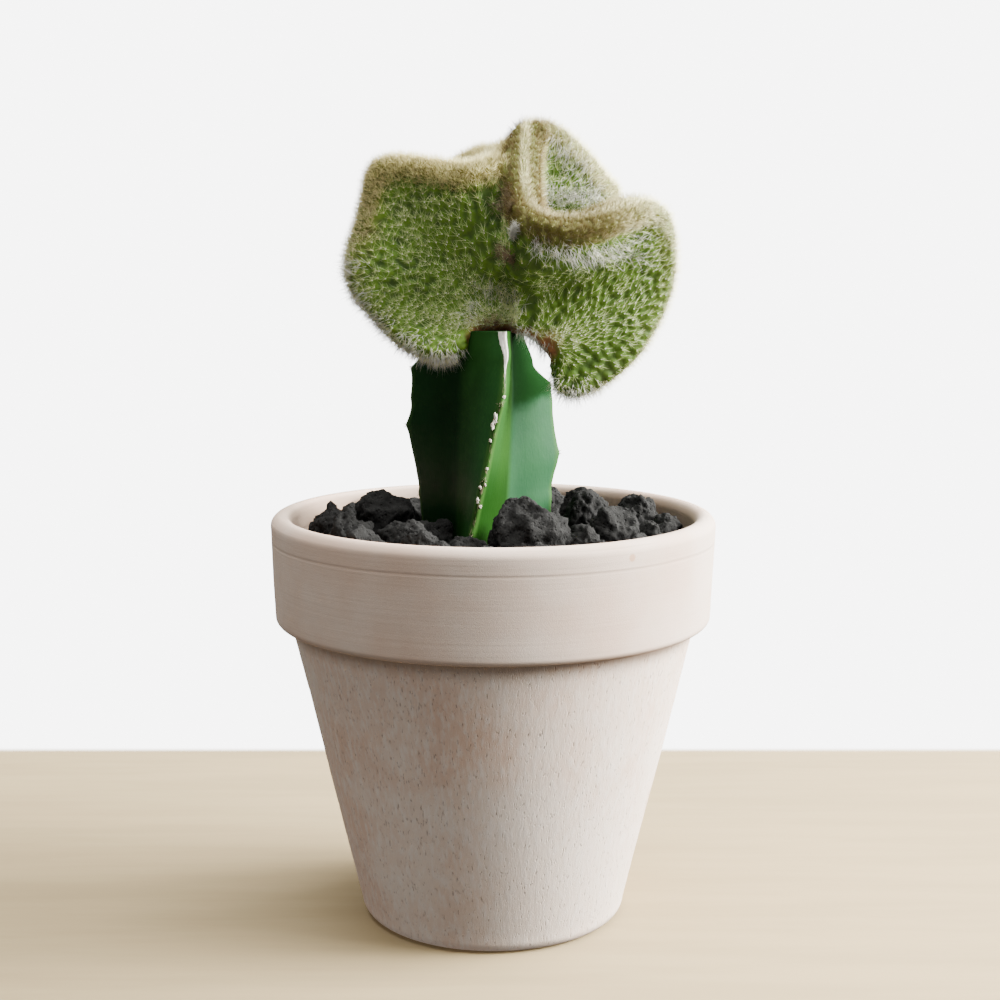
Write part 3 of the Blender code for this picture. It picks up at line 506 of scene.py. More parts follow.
def lava_finish(name, colours, lift=0.0):
    lava = Finish(name, Specular_IOR_Level=0.10)
    lumps = lava.noise(320.0, 6.0, 0.68)
    grain = lava.noise(2400.0, 4.0, 0.7)
    bubbles = lava.cells(950.0)
    tone = lumps * 0.55 + grain * 0.45 + lift
    colour = lava.mix(tone.within(0.40, 0.66), colours.dark, colours.pale)
    # painted shade: darker in the pits of the lumps and in the gas bubbles
    colour = lava.mix(lava.read("pit").within(0.15, 0.8) * 0.85, colour, colours.dark)
    colour = lava.mix((1 - bubbles.within(0.10, 0.34)) * 0.7, colour, colours.dark)
    lava.shades(Base_Color=colour, Roughness=grain * 0.15 + 0.82)
    lava.bump(grain * 0.6 + bubbles.within(0.05, 0.45) * 0.6, 0.00045)
    return lava.material


def soil_finish():
    soil = Finish("potting_mix", Specular_IOR_Level=0.2)
    crumbs = soil.noise(700.0, 6.0, 0.7)
    colour = soil.mix(crumbs.within(0.40, 0.65), (0.012, 0.010, 0.009), (0.060, 0.048, 0.038))
    soil.shades(Base_Color=colour, Roughness=crumbs * 0.1 + 0.88)
    soil.bump(crumbs, 0.0012)
    return soil.material


def stock_finish(colours):
    skin = Finish("stock_skin", Specular_IOR_Level=0.035)
    across, outward, height = skin.read("across"), skin.read("outward"), skin.along("Z")
    mottle = skin.noise(110.0, 3.0, 0.5)
    broad = skin.noise(45.0, 2.0, 0.5, (1.0, 1.0, 0.5))
    fine = skin.noise(1500.0, 3.0, 0.6, (1.0, 1.0, 0.35))
    front = skin.read("front")
    # painted shade: darker down in the valleys between the ribs
    colour = skin.mix(outward.within(0.05, 0.75), colours.shade, colours.skin)
    colour = skin.mix(mottle.within(0.35, 0.70) * 0.35, colour, (0.018, 0.085, 0.018))
    # painted light: the front rib's right flank, which faces the lights, lighter yellow-green; its left flank gets less
    colour = skin.mix(skin.read("flank") * (broad * 0.7 + 0.2), colour, (0.032, 0.098, 0.013))
    # painted reflection: a bluish-green sheen of the lights over the right rib
    colour = skin.mix(skin.read("bloom") * (broad * 0.6 + 0.3), colour, (0.020, 0.076, 0.033))
    # painted shade: the left rib, which faces away from the lights, darker
    colour = skin.mix(skin.read("shaded") * 0.55, colour, (0.0015, 0.012, 0.003))
    # the front rib darker lower down, most on its right flank
    colour = skin.mix(front * skin.read("flank") * (1 - height.within(0.106, 0.126)) * 0.85, colour,
                      (0.003, 0.022, 0.001))
    # painted shadow: the crest's shadow on the right rib's top, with a wavy lower edge
    painted_crest_shadow = (height - outward * 0.004 + (mottle - 0.5) * 0.008).within(0.1245, 0.1292) * skin.read("bloom")
    colour = skin.mix(painted_crest_shadow * 0.96, colour, (0.002, 0.020, 0.002))
    edge = outward.within(0.86, 0.985) * (1 - painted_crest_shadow * 0.8)
    colour = skin.mix(edge * 0.55, colour, colours.ridge)
    colour = skin.mix(outward.within(0.985, 1.0) * fine.within(0.48, 0.66) * 0.6, colour, (0.30, 0.24, 0.16))
    wide = height.within(CUT_BOTTOM, 0.1485) * 1.25
    wavy = (fine - 0.5) * 0.5
    inside = (wide + wavy * wide - across.size()).within(-0.05, 0.10)
    healed = (wide * 0.40 + wavy - across.size()).within(-0.05, 0.15)
    cut = inside * front * outward.within(0.55, 0.75) * height.within(CUT_BOTTOM - 0.0002, CUT_BOTTOM + 0.0004)
    colour = skin.mix(cut, colour, colours.cork)
    colour = skin.mix(cut * healed * 0.8, colour, (0.17, 0.14, 0.125))
    base = 1 - height.within(0.088, 0.099)
    colour = skin.mix(base * mottle.within(0.4, 0.6) * 0.2, colour, (0.06, 0.06, 0.025))
    skin.shades(Base_Color=colour, Roughness=cut * 0.35 + mottle * 0.15 + painted_crest_shadow * 0.42 + 0.42)
    skin.bump(mottle * 0.5 + fine * 0.12 + cut * 0.6, 0.0004)
    return skin.material


def flesh_finish(colours):
    flesh = Finish("crest_skin", Specular_IOR_Level=0.3)
    tubercle, way_in, graft = flesh.read("tubercle"), flesh.read("way_in"), flesh.read("graft")
    mottle = flesh.noise(260.0, 4.0, 0.6)
    fine = flesh.noise(2600.0, 3.0, 0.6)
    # random mottle with painted shade: darker between the tubercles
    colour = flesh.mix((tubercle * 0.35 + mottle * 1.1 - 0.20).within(0.1, 0.8), colours.dark_green, colours.green)
    # painted highlight: the tubercles' tops yellow-green, as where light shines through
    colour = flesh.mix(tubercle.within(0.8, 1.0) * 0.2, colour, (0.24, 0.36, 0.05))
    colour = flesh.mix(flesh.along("X").within(0.006, 0.024) * 0.3, colour, colours.dark_green)
    young = (1 - (way_in + (mottle - 0.5) * 3.0).within(2.5, 8.0)) * flesh.read("growth")
    colour = flesh.mix(young * 0.9, colour, colours.olive)
    colour = flesh.mix(1 - (graft + (mottle - 0.5) * 4.0).within(2.0, 5.5), colour, colours.callus)
    flesh.shades(Base_Color=colour, Roughness=fine * 0.2 + 0.5)
    flesh.bump(fine * 0.4 + mottle * 0.5, 0.0003)
    return flesh.material


def needle_finish(name, low, high, foot, roughness=0.55, depth=0.75, gloss=0.35):
    """Spines or hairs: "young" runs from the low colour to the high one, a small "tone" takes on the foot's. On the
    crest the tone also carries painted shade and highlight.
    """
    needle = Finish(name, Specular_IOR_Level=gloss)
    along, young, tone = needle.read("along"), needle.read("young"), needle.read("tone")
    colour = needle.mix(young, low, high)
    colour = needle.mix((1 - tone) * depth, colour, foot)
    colour = needle.mix((1 - along.within(0.0, 0.45)) * 0.45, colour, foot)
    needle.shades(Base_Color=colour, Roughness=tone * 0.1 + roughness)
    return needle.material


# Shared making

def new_piece(name, bm, material=None):
    """Turns a bmesh into an object at the origin and frees it."""
    mesh = bpy.data.meshes.new(name)
    bm.to_mesh(mesh)
    bm.free()
    piece = bpy.data.objects.new(name, mesh)
    bpy.context.scene.collection.objects.link(piece)
    if material:
        mesh.materials.append(material)
    return piece


def apply_modifiers(piece):
    graph = bpy.context.evaluated_depsgraph_get()
    mesh = bpy.data.meshes.new_from_object(piece.evaluated_get(graph))
    piece.modifiers.clear()
    piece.data = mesh


def smooth_shade(piece, sharp_angle=None):
    piece.data.shade_smooth()
    if sharp_angle:
        piece.data.set_sharp_from_angle(angle=math.radians(sharp_angle))


def clamped(value):
    return max(0.0, min(1.0, value))


def store(mesh, name, values, kind="FLOAT"):
    layer = mesh.attributes.new(name, kind, "POINT")
    field = "vector" if kind == "FLOAT_VECTOR" else "value"
    layer.data.foreach_set(field, np.asarray(values, np.float32).ravel())


def store_marks(mesh, names, marks):
    """Stores one tuple of values for each vertex under their names."""
    for name, values in zip(names, zip(*marks)):
        store(mesh, name, values)


def hand_in(piece, slot, *nodes):
    """Hides the solids that the piece stands in for and attaches it to the root, which it moves with. The slot is not
    used.
    """
    if nodes:
        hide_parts(*nodes)
    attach(piece, "root")


def tree_of(piece):
    bm = bmesh.new()
    bm.from_mesh(piece.data)
    tree = BVHTree.FromBMesh(bm)
    bm.free()
    return tree


def in_order(bm):
    """Lists the faces by their points, because spin lists them in another order each time."""
    bm.verts.index_update()
    count = len(bm.verts)

    def rank(face):
        points = [vert.index for vert in face.verts]
        return min(points) * count + max(points)
    bm.faces.sort(key=rank)


def to_grid(bm, columns, rows, place):
    """A bmesh grid of columns by rows points, each moved to place(column, row)."""
    bmesh.ops.create_grid(bm, x_segments=columns - 1, y_segments=rows - 1, size=1.0)
    for vert in bm.verts:
        column = round((vert.co.x + 1) / 2 * (columns - 1))
        row = round((vert.co.y + 1) / 2 * (rows - 1))
        vert.co = place(column, row)


def even_vector(draw):
    """A place in a cube round 0, each as likely."""
    return Vector([draw.uniform(-1, 1) for _ in range(3)])


def stray_vector(draw, spread=1.0):
    """A place in a cloud round 0."""
    return Vector([draw.gauss(0, spread) for _ in range(3)])


# Needles and how they are scattered

def points_tree(points):
    """A search tree of points."""
    tree = KDTree(len(points))
    for index, point in enumerate(points):
        tree.insert(point, index)
    tree.balance()
    return tree


def needle_shape(name):
    """A three-sided needle of unit length and radius, as a pattern for scattering."""
    bm = bmesh.new()
    bmesh.ops.create_cone(bm, cap_ends=True, segments=3, radius1=1.0, radius2=0.0, depth=1.0,
                          matrix=Matrix.Translation((0, 0, 0.5)))
    bmesh.ops.remove_doubles(bm, verts=bm.verts, dist=0.0001)
    pattern = new_piece(name, bm)
    store(pattern.data, "along", [vert.co.z for vert in pattern.data.vertices])
    smooth_shade(pattern)
    return pattern


def turn_to(way, roll):
    """The quaternion that turns +Z to a direction, with a roll about it first."""
    return Vector((0, 0, 1)).rotation_difference(way) @ Matrix.Rotation(roll, 3, "Z").to_quaternion()


class Scatter:
    """Collects places for copies of one small shape and makes one real mesh of them."""

    def __init__(self):
        self.spots, self.turns, self.sizes, self.tones, self.youth = [], [], [], [], []

    def add(self, spot, way, roll, size, tone=1.0, young=0.0):
        self.spots.append(spot)
        turn = turn_to(way, roll)
        self.turns.append((turn.w, turn.x, turn.y, turn.z))
        self.sizes.append(size)
        self.tones.append(tone)
        self.youth.append(young)

    def piece(self, name, pattern, material):
        cloud = bpy.data.meshes.new(name)
        cloud.vertices.add(len(self.spots))
        cloud.vertices.foreach_set("co", np.asarray(self.spots, np.float32).ravel())
        store(cloud, "turn", self.turns, "QUATERNION")
        store(cloud, "size", self.sizes, "FLOAT_VECTOR")
        store(cloud, "tone", self.tones)
        store(cloud, "young", self.youth)
        made = bpy.data.objects.new(name, cloud)
        bpy.context.scene.collection.objects.link(made)
        copies = made.modifiers.new("copies", "NODES")
        copies.node_group = copies_tree(pattern)
        apply_modifiers(made)
        bpy.data.node_groups.remove(bpy.data.node_groups["copies"])
        bpy.data.objects.remove(pattern)
        for label in ("turn", "size"):
            if label in made.data.attributes:
                made.data.attributes.remove(made.data.attributes[label])
        made.data.materials.clear()
        made.data.materials.append(material)
        return made


def copies_tree(pattern):
    """Geometry nodes that put a real copy of the pattern on each point, with its turn and size."""
    tree = bpy.data.node_groups.new("copies", "GeometryNodeTree")
    for way in ("INPUT", "OUTPUT"):
        tree.interface.new_socket("Geometry", in_out=way, socket_type="NodeSocketGeometry")
    points = tree.nodes.new("NodeGroupInput")
    shape = tree.nodes.new("GeometryNodeObjectInfo")
    shape.inputs["Object"].default_value = pattern
    copies = tree.nodes.new("GeometryNodeInstanceOnPoints")
    real = tree.nodes.new("GeometryNodeRealizeInstances")
    result = tree.nodes.new("NodeGroupOutput")
    tree.links.new(points.outputs[0], copies.inputs["Points"])
    tree.links.new(shape.outputs["Geometry"], copies.inputs["Instance"])
    for name, kind, socket in (("turn", "QUATERNION", "Rotation"), ("size", "FLOAT_VECTOR", "Scale")):
        read = tree.nodes.new("GeometryNodeInputNamedAttribute")
        read.data_type = kind
        read.inputs["Name"].default_value = name
        tree.links.new(read.outputs["Attribute"], copies.inputs[socket])
    tree.links.new(copies.outputs[0], real.inputs[0])
    tree.links.new(real.outputs[0], result.inputs[0])
    return tree


# Pot

def arc(centre, radius, start, end, steps):
    """Points (r, z) on an arc, its ends included, with angles in degrees."""
    angles = [math.radians(start + (end - start) * i / steps) for i in range(steps + 1)]
    return [(centre[0] + radius * math.cos(a), centre[1] + radius * math.sin(a)) for a in angles]


def body_radius(z):
    share = (z - BASE_ROUNDING) / (BAND_BOTTOM - BASE_ROUNDING)
    return BASE_RADIUS + (BODY_TOP_RADIUS - BASE_RADIUS) * share


def spaced(profile, most):
    """The closed profile with its long stretches cut up into steps of at most that length."""
    fine = []
    for a, b in zip(profile, profile[1:] + profile[:1]):
        steps = max(1, math.ceil(math.dist(a, b) / most))
        fine += [(a[0] + (b[0] - a[0]) * i / steps, a[1] + (b[1] - a[1]) * i / steps) for i in range(steps)]
    return fine


def pot_profile():
    lip_centre = (RIM_RADIUS - LIP_RADIUS, POT_HEIGHT - LIP_RADIUS)
    foot_height = FLOOR_THICKNESS + FLOOR_CORNER
    lip = RIM_RADIUS - 2 * LIP_RADIUS
    profile = arc(lip_centre, LIP_RADIUS, 90, 0, 8)
    profile += arc((BAND_FOOT_RADIUS - BAND_ROUNDING, BAND_BOTTOM + BAND_ROUNDING), BAND_ROUNDING, 0, -90, 6)
    profile += arc((BODY_TOP_RADIUS + BAND_FILLET, BAND_BOTTOM - BAND_FILLET), BAND_FILLET, 90, 180, 3)
    profile += arc((BASE_RADIUS - BASE_ROUNDING, BASE_ROUNDING), BASE_ROUNDING, 0, -90, 8)
    profile += [(DRAIN_RADIUS + DRAIN_CHAMFER, 0.0), (DRAIN_RADIUS, DRAIN_CHAMFER), (DRAIN_RADIUS, FLOOR_THICKNESS)]
    profile += arc((body_radius(foot_height) - WALL - FLOOR_CORNER, foot_height), FLOOR_CORNER, -90, 0, 5)
    profile += [(body_radius(SHOULDER_BOTTOM) - WALL, SHOULDER_BOTTOM), (lip - SHOULDER_LEAN, SHOULDER_TOP)]
    return profile + arc(lip_centre, LIP_RADIUS, 180, 90, 8)[:-1]


class CACTUS_OT_pot(bpy.types.Operator):
    """Turn the clay pot"""
    bl_idname = "cactus.pot"
    bl_label = "Pot"

    def execute(self, context):
        pot = context.scene.cactus_pot
        bm = bmesh.new()
        points = [bm.verts.new((r, 0.0, z)) for r, z in spaced(pot_profile(), PROFILE_STEP)]
        edges = [bm.edges.new(pair) for pair in zip(points, points[1:] + points[:1])]
        bmesh.ops.spin(bm, geom=points + edges, cent=(0, 0, 0), axis=(0, 0, 1), dvec=(0, 0, 0),
                       angle=2 * math.pi, steps=pot.steps, use_merge=True, use_duplicate=False)
        bmesh.ops.remove_doubles(bm, verts=bm.verts, dist=0.00001)
        bmesh.ops.recalc_face_normals(bm, faces=bm.faces)
        in_order(bm)
        for vert in bm.verts:
            way = Vector((vert.co.x, vert.co.y, 0.0)).normalized()
            stray = noise.noise(Vector((way.x * 1.3, way.y * 1.3, vert.co.z * 30)))
            ring = noise.noise(Vector((way.x * 0.4, way.y * 0.4, vert.co.z * 700 + 5)))
            vert.co += way * (stray * pot.wobble * 1.6 + ring * pot.wobble * 0.35)
        piece = new_piece("pot_clay", bm, clay_finish(pot))
        smooth_shade(piece, 40)
        hand_in(piece, "clay", "pot")
        return {"FINISHED"}


# Soil, grit and stones

class CACTUS_OT_soil(bpy.types.Operator):
    """Fill the pot with soil and strew grit between the stones"""
    bl_idname = "cactus.soil"
    bl_label = "Soil and grit"

    def execute(self, context):
        stones = context.scene.cactus_stones
        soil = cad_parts["soil"]
        soil.data.materials.clear()
        soil.data.materials.append(soil_finish())
        bm = bmesh.new()
        bmesh.ops.create_cube(bm, size=1.6)
        bmesh.ops.subdivide_edges(bm, edges=bm.edges, cuts=1, use_grid_fill=True)
        for vert in bm.verts:
            way = vert.co.normalized()
            vert.co = way * (1.0 + 0.45 * noise.noise(way * 1.9 + Vector((3.1, 0.7, 5.2))))
        lump = new_piece("grit_shape", bm)
        draw = random.Random(23)
        grit = Scatter()
        solids = [tree_of(node) for name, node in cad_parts.items() if name.startswith("stone") or name == "stock"]
        for _ in range(GRIT_TRIES):
            if len(grit.spots) >= stones.grit_count:
                break
            turn, r = draw.uniform(0, 2 * math.pi), GRIT_REACH * math.sqrt(draw.random())
            size = draw.uniform(*(SMALL_GRIT if draw.random() < SMALL_GRIT_SHARE else LARGE_GRIT))
            spot = Vector((r * math.cos(turn), r * math.sin(turn), SOIL_TOP + size * draw.uniform(0.1, 0.9)))
            if r + size > GRIT_REACH + GRIT_OVERHANG or self.buried(spot, size, solids):
                continue
            grit.add(spot, even_vector(draw).normalized(), draw.uniform(0, FULL_TURN),
                     [size * draw.uniform(0.7, 1.1) for _ in range(3)], draw.uniform(0.5, 1.0))
        piece = grit.piece("grit", lump, lava_finish("grit_lava", stones, -0.03))
        hand_in(piece, "lava")
        return {"FINISHED"}

    def buried(self, spot, size, solids):
        """Whether a grain's middle lies in a stone or in the stem."""
        for solid in solids:
            near, normal, _, _ = solid.find_nearest(spot, 0.02)
            if near is not None and (spot - near).dot(normal) < -0.1 * size:
                return True
        return False


class CACTUS_OT_stones(bpy.types.Operator):
    """Roughen each lump of lava from its solid"""
    bl_idname = "cactus.stones"
    bl_label = "Lava stones"

    def execute(self, context):
        settings = context.scene.cactus_stones
        material = lava_finish("lava", settings)
        names = sorted(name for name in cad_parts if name.startswith("stone"))
        for index, name in enumerate(names, 1):
            cuts = LARGE_CUTS if index <= LARGE_STONES else SMALL_CUTS
            self.lump(name, settings, cuts, index * STONE_SHIFT, material)
        return {"FINISHED"}

    def lump(self, name, settings, cuts, shift, material):
        bm = bmesh.new()
        bm.from_mesh(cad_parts[name].data)
        bmesh.ops.remove_doubles(bm, verts=bm.verts, dist=0.00001)
        bmesh.ops.subdivide_edges(bm, edges=bm.edges, cuts=cuts, use_grid_fill=True)
        for _ in range(STONE_ROUNDS):
            bmesh.ops.smooth_vert(bm, verts=bm.verts, factor=0.5, use_axis_x=True, use_axis_y=True, use_axis_z=True)
        bm.normal_update()
        pits = []
        moved = []
        for vert in bm.verts:
            p = vert.co / MILLIMETRE + Vector((shift, shift * 0.7, -shift))
            big = noise.fractal(p * 0.22, 0.9, 2.1, 3)
            rough = noise.ridged_multi_fractal(p * 0.45, 0.9, 2.2, 3, 0.9, 2.0) - 1.2
            near = noise.voronoi(p * 0.62)[0][0]
            small = noise.voronoi(p * 1.35)[0][0]
            pit = max(0.0, 1.0 - near / 0.42) ** 0.7 * 0.75 + max(0.0, 1.0 - small / 0.38) ** 0.8 * 0.4
            pits.append(min(1.0, pit))
            push = settings.roughness * (big * 0.8 + rough * 0.6 + 0.1) - settings.pits * pit
            moved.append(vert.co + vert.normal * push)
        for vert, place in zip(bm.verts, moved):
            vert.co = place
            vert.co.z = max(vert.co.z, SOIL_TOP - STONE_SINK)
        piece = new_piece("lava_" + name[-2:], bm, material)
        store(piece.data, "pit", pits)
        smooth_shade(piece, 50)
        hand_in(piece, "lava", name)


# Stock

def rib_radius(levels, z):
    """The rib's tip radius at a height."""
    for (z0, r0), (z1, r1) in zip(levels, levels[1:]):
        if z <= z1:
            t = max(0.0, (z - z0) / (z1 - z0))
            return r0 + (r1 - r0) * t * t * (3 - 2 * t)
    return levels[-1][1]


def rib_way(turns, z, aside=0.0):
    """The level direction of a rib at a height, or that many degrees aside of it."""
    foot, top = turns
    t = (z - SOIL_TOP) / (STOCK_TOP - SOIL_TOP)
    angle = math.radians(foot + (top - foot) * clamped(t) + aside)
    return Vector((math.cos(angle), math.sin(angle)))


def rib_outline(turns, levels, z, swell):
    """One rib's outline at a height, with the valley after it."""
    along = rib_way(turns, z)
    across = Vector((-along.y, along.x))
    tip = rib_radius(levels, z) + swell
    valley = STOCK_VALLEY + swell
    waist = valley + (tip - valley) * RIB_WAIST_PLACE
    side = [
        (waist, RIB_WAIST_HALF + swell),
        (tip - RIB_TIP_ROUNDING, RIB_TIP_HALF + swell),
        (tip, (RIB_TIP_HALF + swell) * RIB_TIP_FLAT),
    ]
    outline = [along * out - across * half for out, half in side]
    outline += [along * out + across * half for out, half in reversed(side)]
    outline.append(rib_way(turns, z, VALLEY_TURN) * valley)
    centre = Vector(STOCK_CENTRE)
    return [point + centre for point in outline]


def rounded(outline, rounds):
    """The closed outline with its corners cut again and again, which leads to a smooth curve."""
    for _ in range(rounds):
        outline = [p for a, b in zip(outline, outline[1:] + outline[:1])
                   for p in (a * 0.75 + b * 0.25, a * 0.25 + b * 0.75)]
    return outline


def stock_skin(top=STOCK_TOP, rows=40, rounds=1, swell=0.0):
    """A closed bmesh of the stem, wrapped round from a grid."""
    outlines = []
    for i in range(rows):
        z = STOCK_FOOT + (top - STOCK_FOOT) * i / (rows - 1)
        outline = [p for turns, levels in STOCK_RIBS.values() for p in rib_outline(turns, levels, z, swell)]
        outlines.append([(p.x, p.y, z) for p in rounded(outline, rounds)])
    around = len(outlines[0])
    bm = bmesh.new()
    to_grid(bm, around + 1, rows, lambda column, row: outlines[row][column % around])
    bmesh.ops.remove_doubles(bm, verts=bm.verts, dist=0.000001)
    rims = [edge for edge in bm.edges if edge.is_boundary]
    bmesh.ops.holes_fill(bm, edges=rims, sides=0)
    bmesh.ops.recalc_face_normals(bm, faces=bm.faces)
    return bm


def rib_place(name, z, aside=0.0):
    """A point on a rib's edge, and the way out there."""
    turns, levels = STOCK_RIBS[name]
    way = rib_way(turns, z)
    flat = Vector(STOCK_CENTRE) + way * rib_radius(levels, z) + Vector((-way.y, way.x)) * aside
    return Vector((flat.x, flat.y, z)), Vector((way.x, way.y, 0.0))


class CACTUS_OT_stock(bpy.types.Operator):
    """Grow the three-ribbed stem with its cut, scars and areoles"""
    bl_idname = "cactus.stock"
    bl_label = "Stock"

    def execute(self, context):
        settings = context.scene.cactus_stock
        material = stock_finish(settings)
        piece = new_piece("stock_stem", stock_skin(rows=120, rounds=2), material)
        mesh = piece.data
        marks = []
        swellings = [rib_place(name, z)[0] for name, heights in AREOLE_HEIGHTS.items() for z in heights]
        for vert in mesh.vertices:
            z = vert.co.z
            flat = vert.co.to_2d() - Vector(STOCK_CENTRE)
            best = max(STOCK_RIBS, key=lambda name: rib_way(STOCK_RIBS[name][0], z).dot(flat))
            turns, levels = STOCK_RIBS[best]
            way = rib_way(turns, z)
            aside = Vector((-way.y, way.x)).dot(flat)
            out = (way.dot(flat) - STOCK_VALLEY) / (rib_radius(levels, z) - STOCK_VALLEY)
            # painted light: the front rib's right flank, which faces the lights, is marked 1 and its left flank 0.4
            flank = 0.0 if best != "front" else 1.0 if aside > 0 else 0.4
            # the right rib is marked for a painted sheen and the left rib for painted shade
            marks.append((aside / MILLIMETRE, clamped(out), float(best == "front"), flank,
                          float(best == "right"), float(best == "left")))
            for spot in swellings:
                away = (vert.co - spot).length
                if away < SWELLING_REACH:
                    vert.co += way.to_3d() * SWELLING_HEIGHT * (1 - away / SWELLING_REACH) ** 2
            if WAVE_BOTTOM < z:
                wave = noise.noise(Vector((turns[0], 0.0, z * WAVES)))
                vert.co += way.to_3d() * WAVE_HEIGHT * wave * max(0.0, out) ** 3
        store_marks(mesh, ("across", "outward", "front", "flank", "bloom", "shaded"), marks)
        smooth_shade(piece, 60)
        hand_in(piece, "stock_skin", "stock")
        self.scars(settings)
        self.areoles()
        return {"FINISHED"}

    def scars(self, settings):
        """Dried pale flakes beside the front rib's edge."""
        bm = bmesh.new()
        draw = random.Random(5)
        for z, aside, length in SCARS:
            place, way = rib_place("front", z, aside)
            start = len(bm.verts)
            spot = Matrix.Translation(place - way * 0.0001 * draw.random())
            shape = Matrix.Diagonal((*FLAKE_HALF_WIDTHS, length * 0.5, 1.0))
            bmesh.ops.create_icosphere(bm, subdivisions=3, radius=1.0, matrix=spot @ shape)
            bm.verts.ensure_lookup_table()
            for vert in bm.verts[start:]:
                away = vert.co - place
                vert.co += away * 0.9 * noise.noise(vert.co / MILLIMETRE * 2.3)
        flakes = Finish("dried_flakes", Specular_IOR_Level=0.3)
        grain = flakes.noise(2500.0)
        flakes.shades(Base_Color=flakes.mix(grain.within(0.35, 0.6), (0.42, 0.33, 0.24), settings.cork),
                      Roughness=grain * 0.1 + 0.7)
        flakes.bump(grain, 0.0003)
        piece = new_piece("stock_scars", bm, flakes.material)
        smooth_shade(piece)
        hand_in(piece, "stock_skin")

    def areoles(self):
        """A few short stiff spines in a little wool at each swelling of the ribs."""
        draw = random.Random(9)
        hairs = Scatter()
        for name, heights in AREOLE_HEIGHTS.items():
            for z in heights:
                place, way = rib_place(name, z)
                for _ in range(BRISTLES):
                    lean = even_vector(draw)
                    hairs.add(place + lean * 0.0003 + way * 0.0001, (way + lean * 0.8).normalized(),
                              draw.uniform(0, FULL_TURN),
                              (BRISTLE_RADIUS, BRISTLE_RADIUS, draw.uniform(0.0005, 0.0013)),
                              draw.uniform(0.1, 0.9))
        material = needle_finish("stock_bristles", (0.45, 0.38, 0.28), (0.4, 0.3, 0.2), (0.10, 0.06, 0.04))
        piece = hairs.piece("stock_bristles", needle_shape("bristle_shape"), material)
        hand_in(piece, "stock_skin")


# Crest

def smooth_path(points, count):
    """count points evenly along a smooth curve through the given ones, which may carry further values."""
    points = [Vector(p) for p in points]
    ends = [points[0] * 2 - points[1]] + points + [points[-1] * 2 - points[-2]]
    fine = []
    for p0, p1, p2, p3 in zip(ends, ends[1:], ends[2:], ends[3:]):
        for i in range(PATH_STEPS):
            t = i / PATH_STEPS
            fine.append(0.5 * (2 * p1 + (p2 - p0) * t + (2 * p0 - 5 * p1 + 4 * p2 - p3) * t ** 2
                               + (3 * p1 - p0 - 3 * p2 + p3) * t ** 3))
    fine.append(points[-1])
    run = [0.0]
    for a, b in zip(fine, fine[1:]):
        run.append(run[-1] + (b.to_3d() - a.to_3d()).length)
    path, j = [], 0
    for i in range(count):
        goal = run[-1] * i / (count - 1)
        while j < len(fine) - 2 and run[j + 1] < goal:
            j += 1
        path.append(fine[j].lerp(fine[j + 1], min(1.0, (goal - run[j]) / (run[j + 1] - run[j]))))
    return path


def relaxed(path, rounds):
    """The path with its folds smoothed out, its ends kept."""
    path = list(path)
    for _ in range(rounds):
        inner = [(a + b * 2 + c) / 4 for a, b, c in zip(path, path[1:], path[2:])]
        path = [path[0]] + inner + [path[-1]]
    return path


def crest_sheet():
    """The fan's middle surface as rows of points, from the union with the stem out to the growing edge."""
    curve = smooth_path(CREST_EDGE, CREST_COLUMNS)
    edge = [p.to_3d() for p in curve]
    lifts = [Vector(LIFT_WAY) * p.w for p in curve]
    base = smooth_path(CREST_BASE, CREST_COLUMNS)
    calm = [Vector((c.x, c.y * CALM_DEPTH, c.z)) for c in relaxed(edge, CREST_CALM)]
    rows = []
    for j in range(CREST_ROWS):
        v = j / (CREST_ROWS - 1)
        row = []
        for b, c, e, lift in zip(base, calm, edge, lifts):
            flat = b.lerp(c, v)
            rise = max(FOLD_LEAST, FOLD_RISE * (e - c).length)
            t = clamped(max((flat.z - FOLD_FOOT) / rise, (v - FOLD_SHARE) / (1 - FOLD_SHARE)))
            row.append(flat + (e - c) * t * t * (3 - 2 * t) + lift * 2 * v * (1 - v))
        rows.append(row)
    return rows


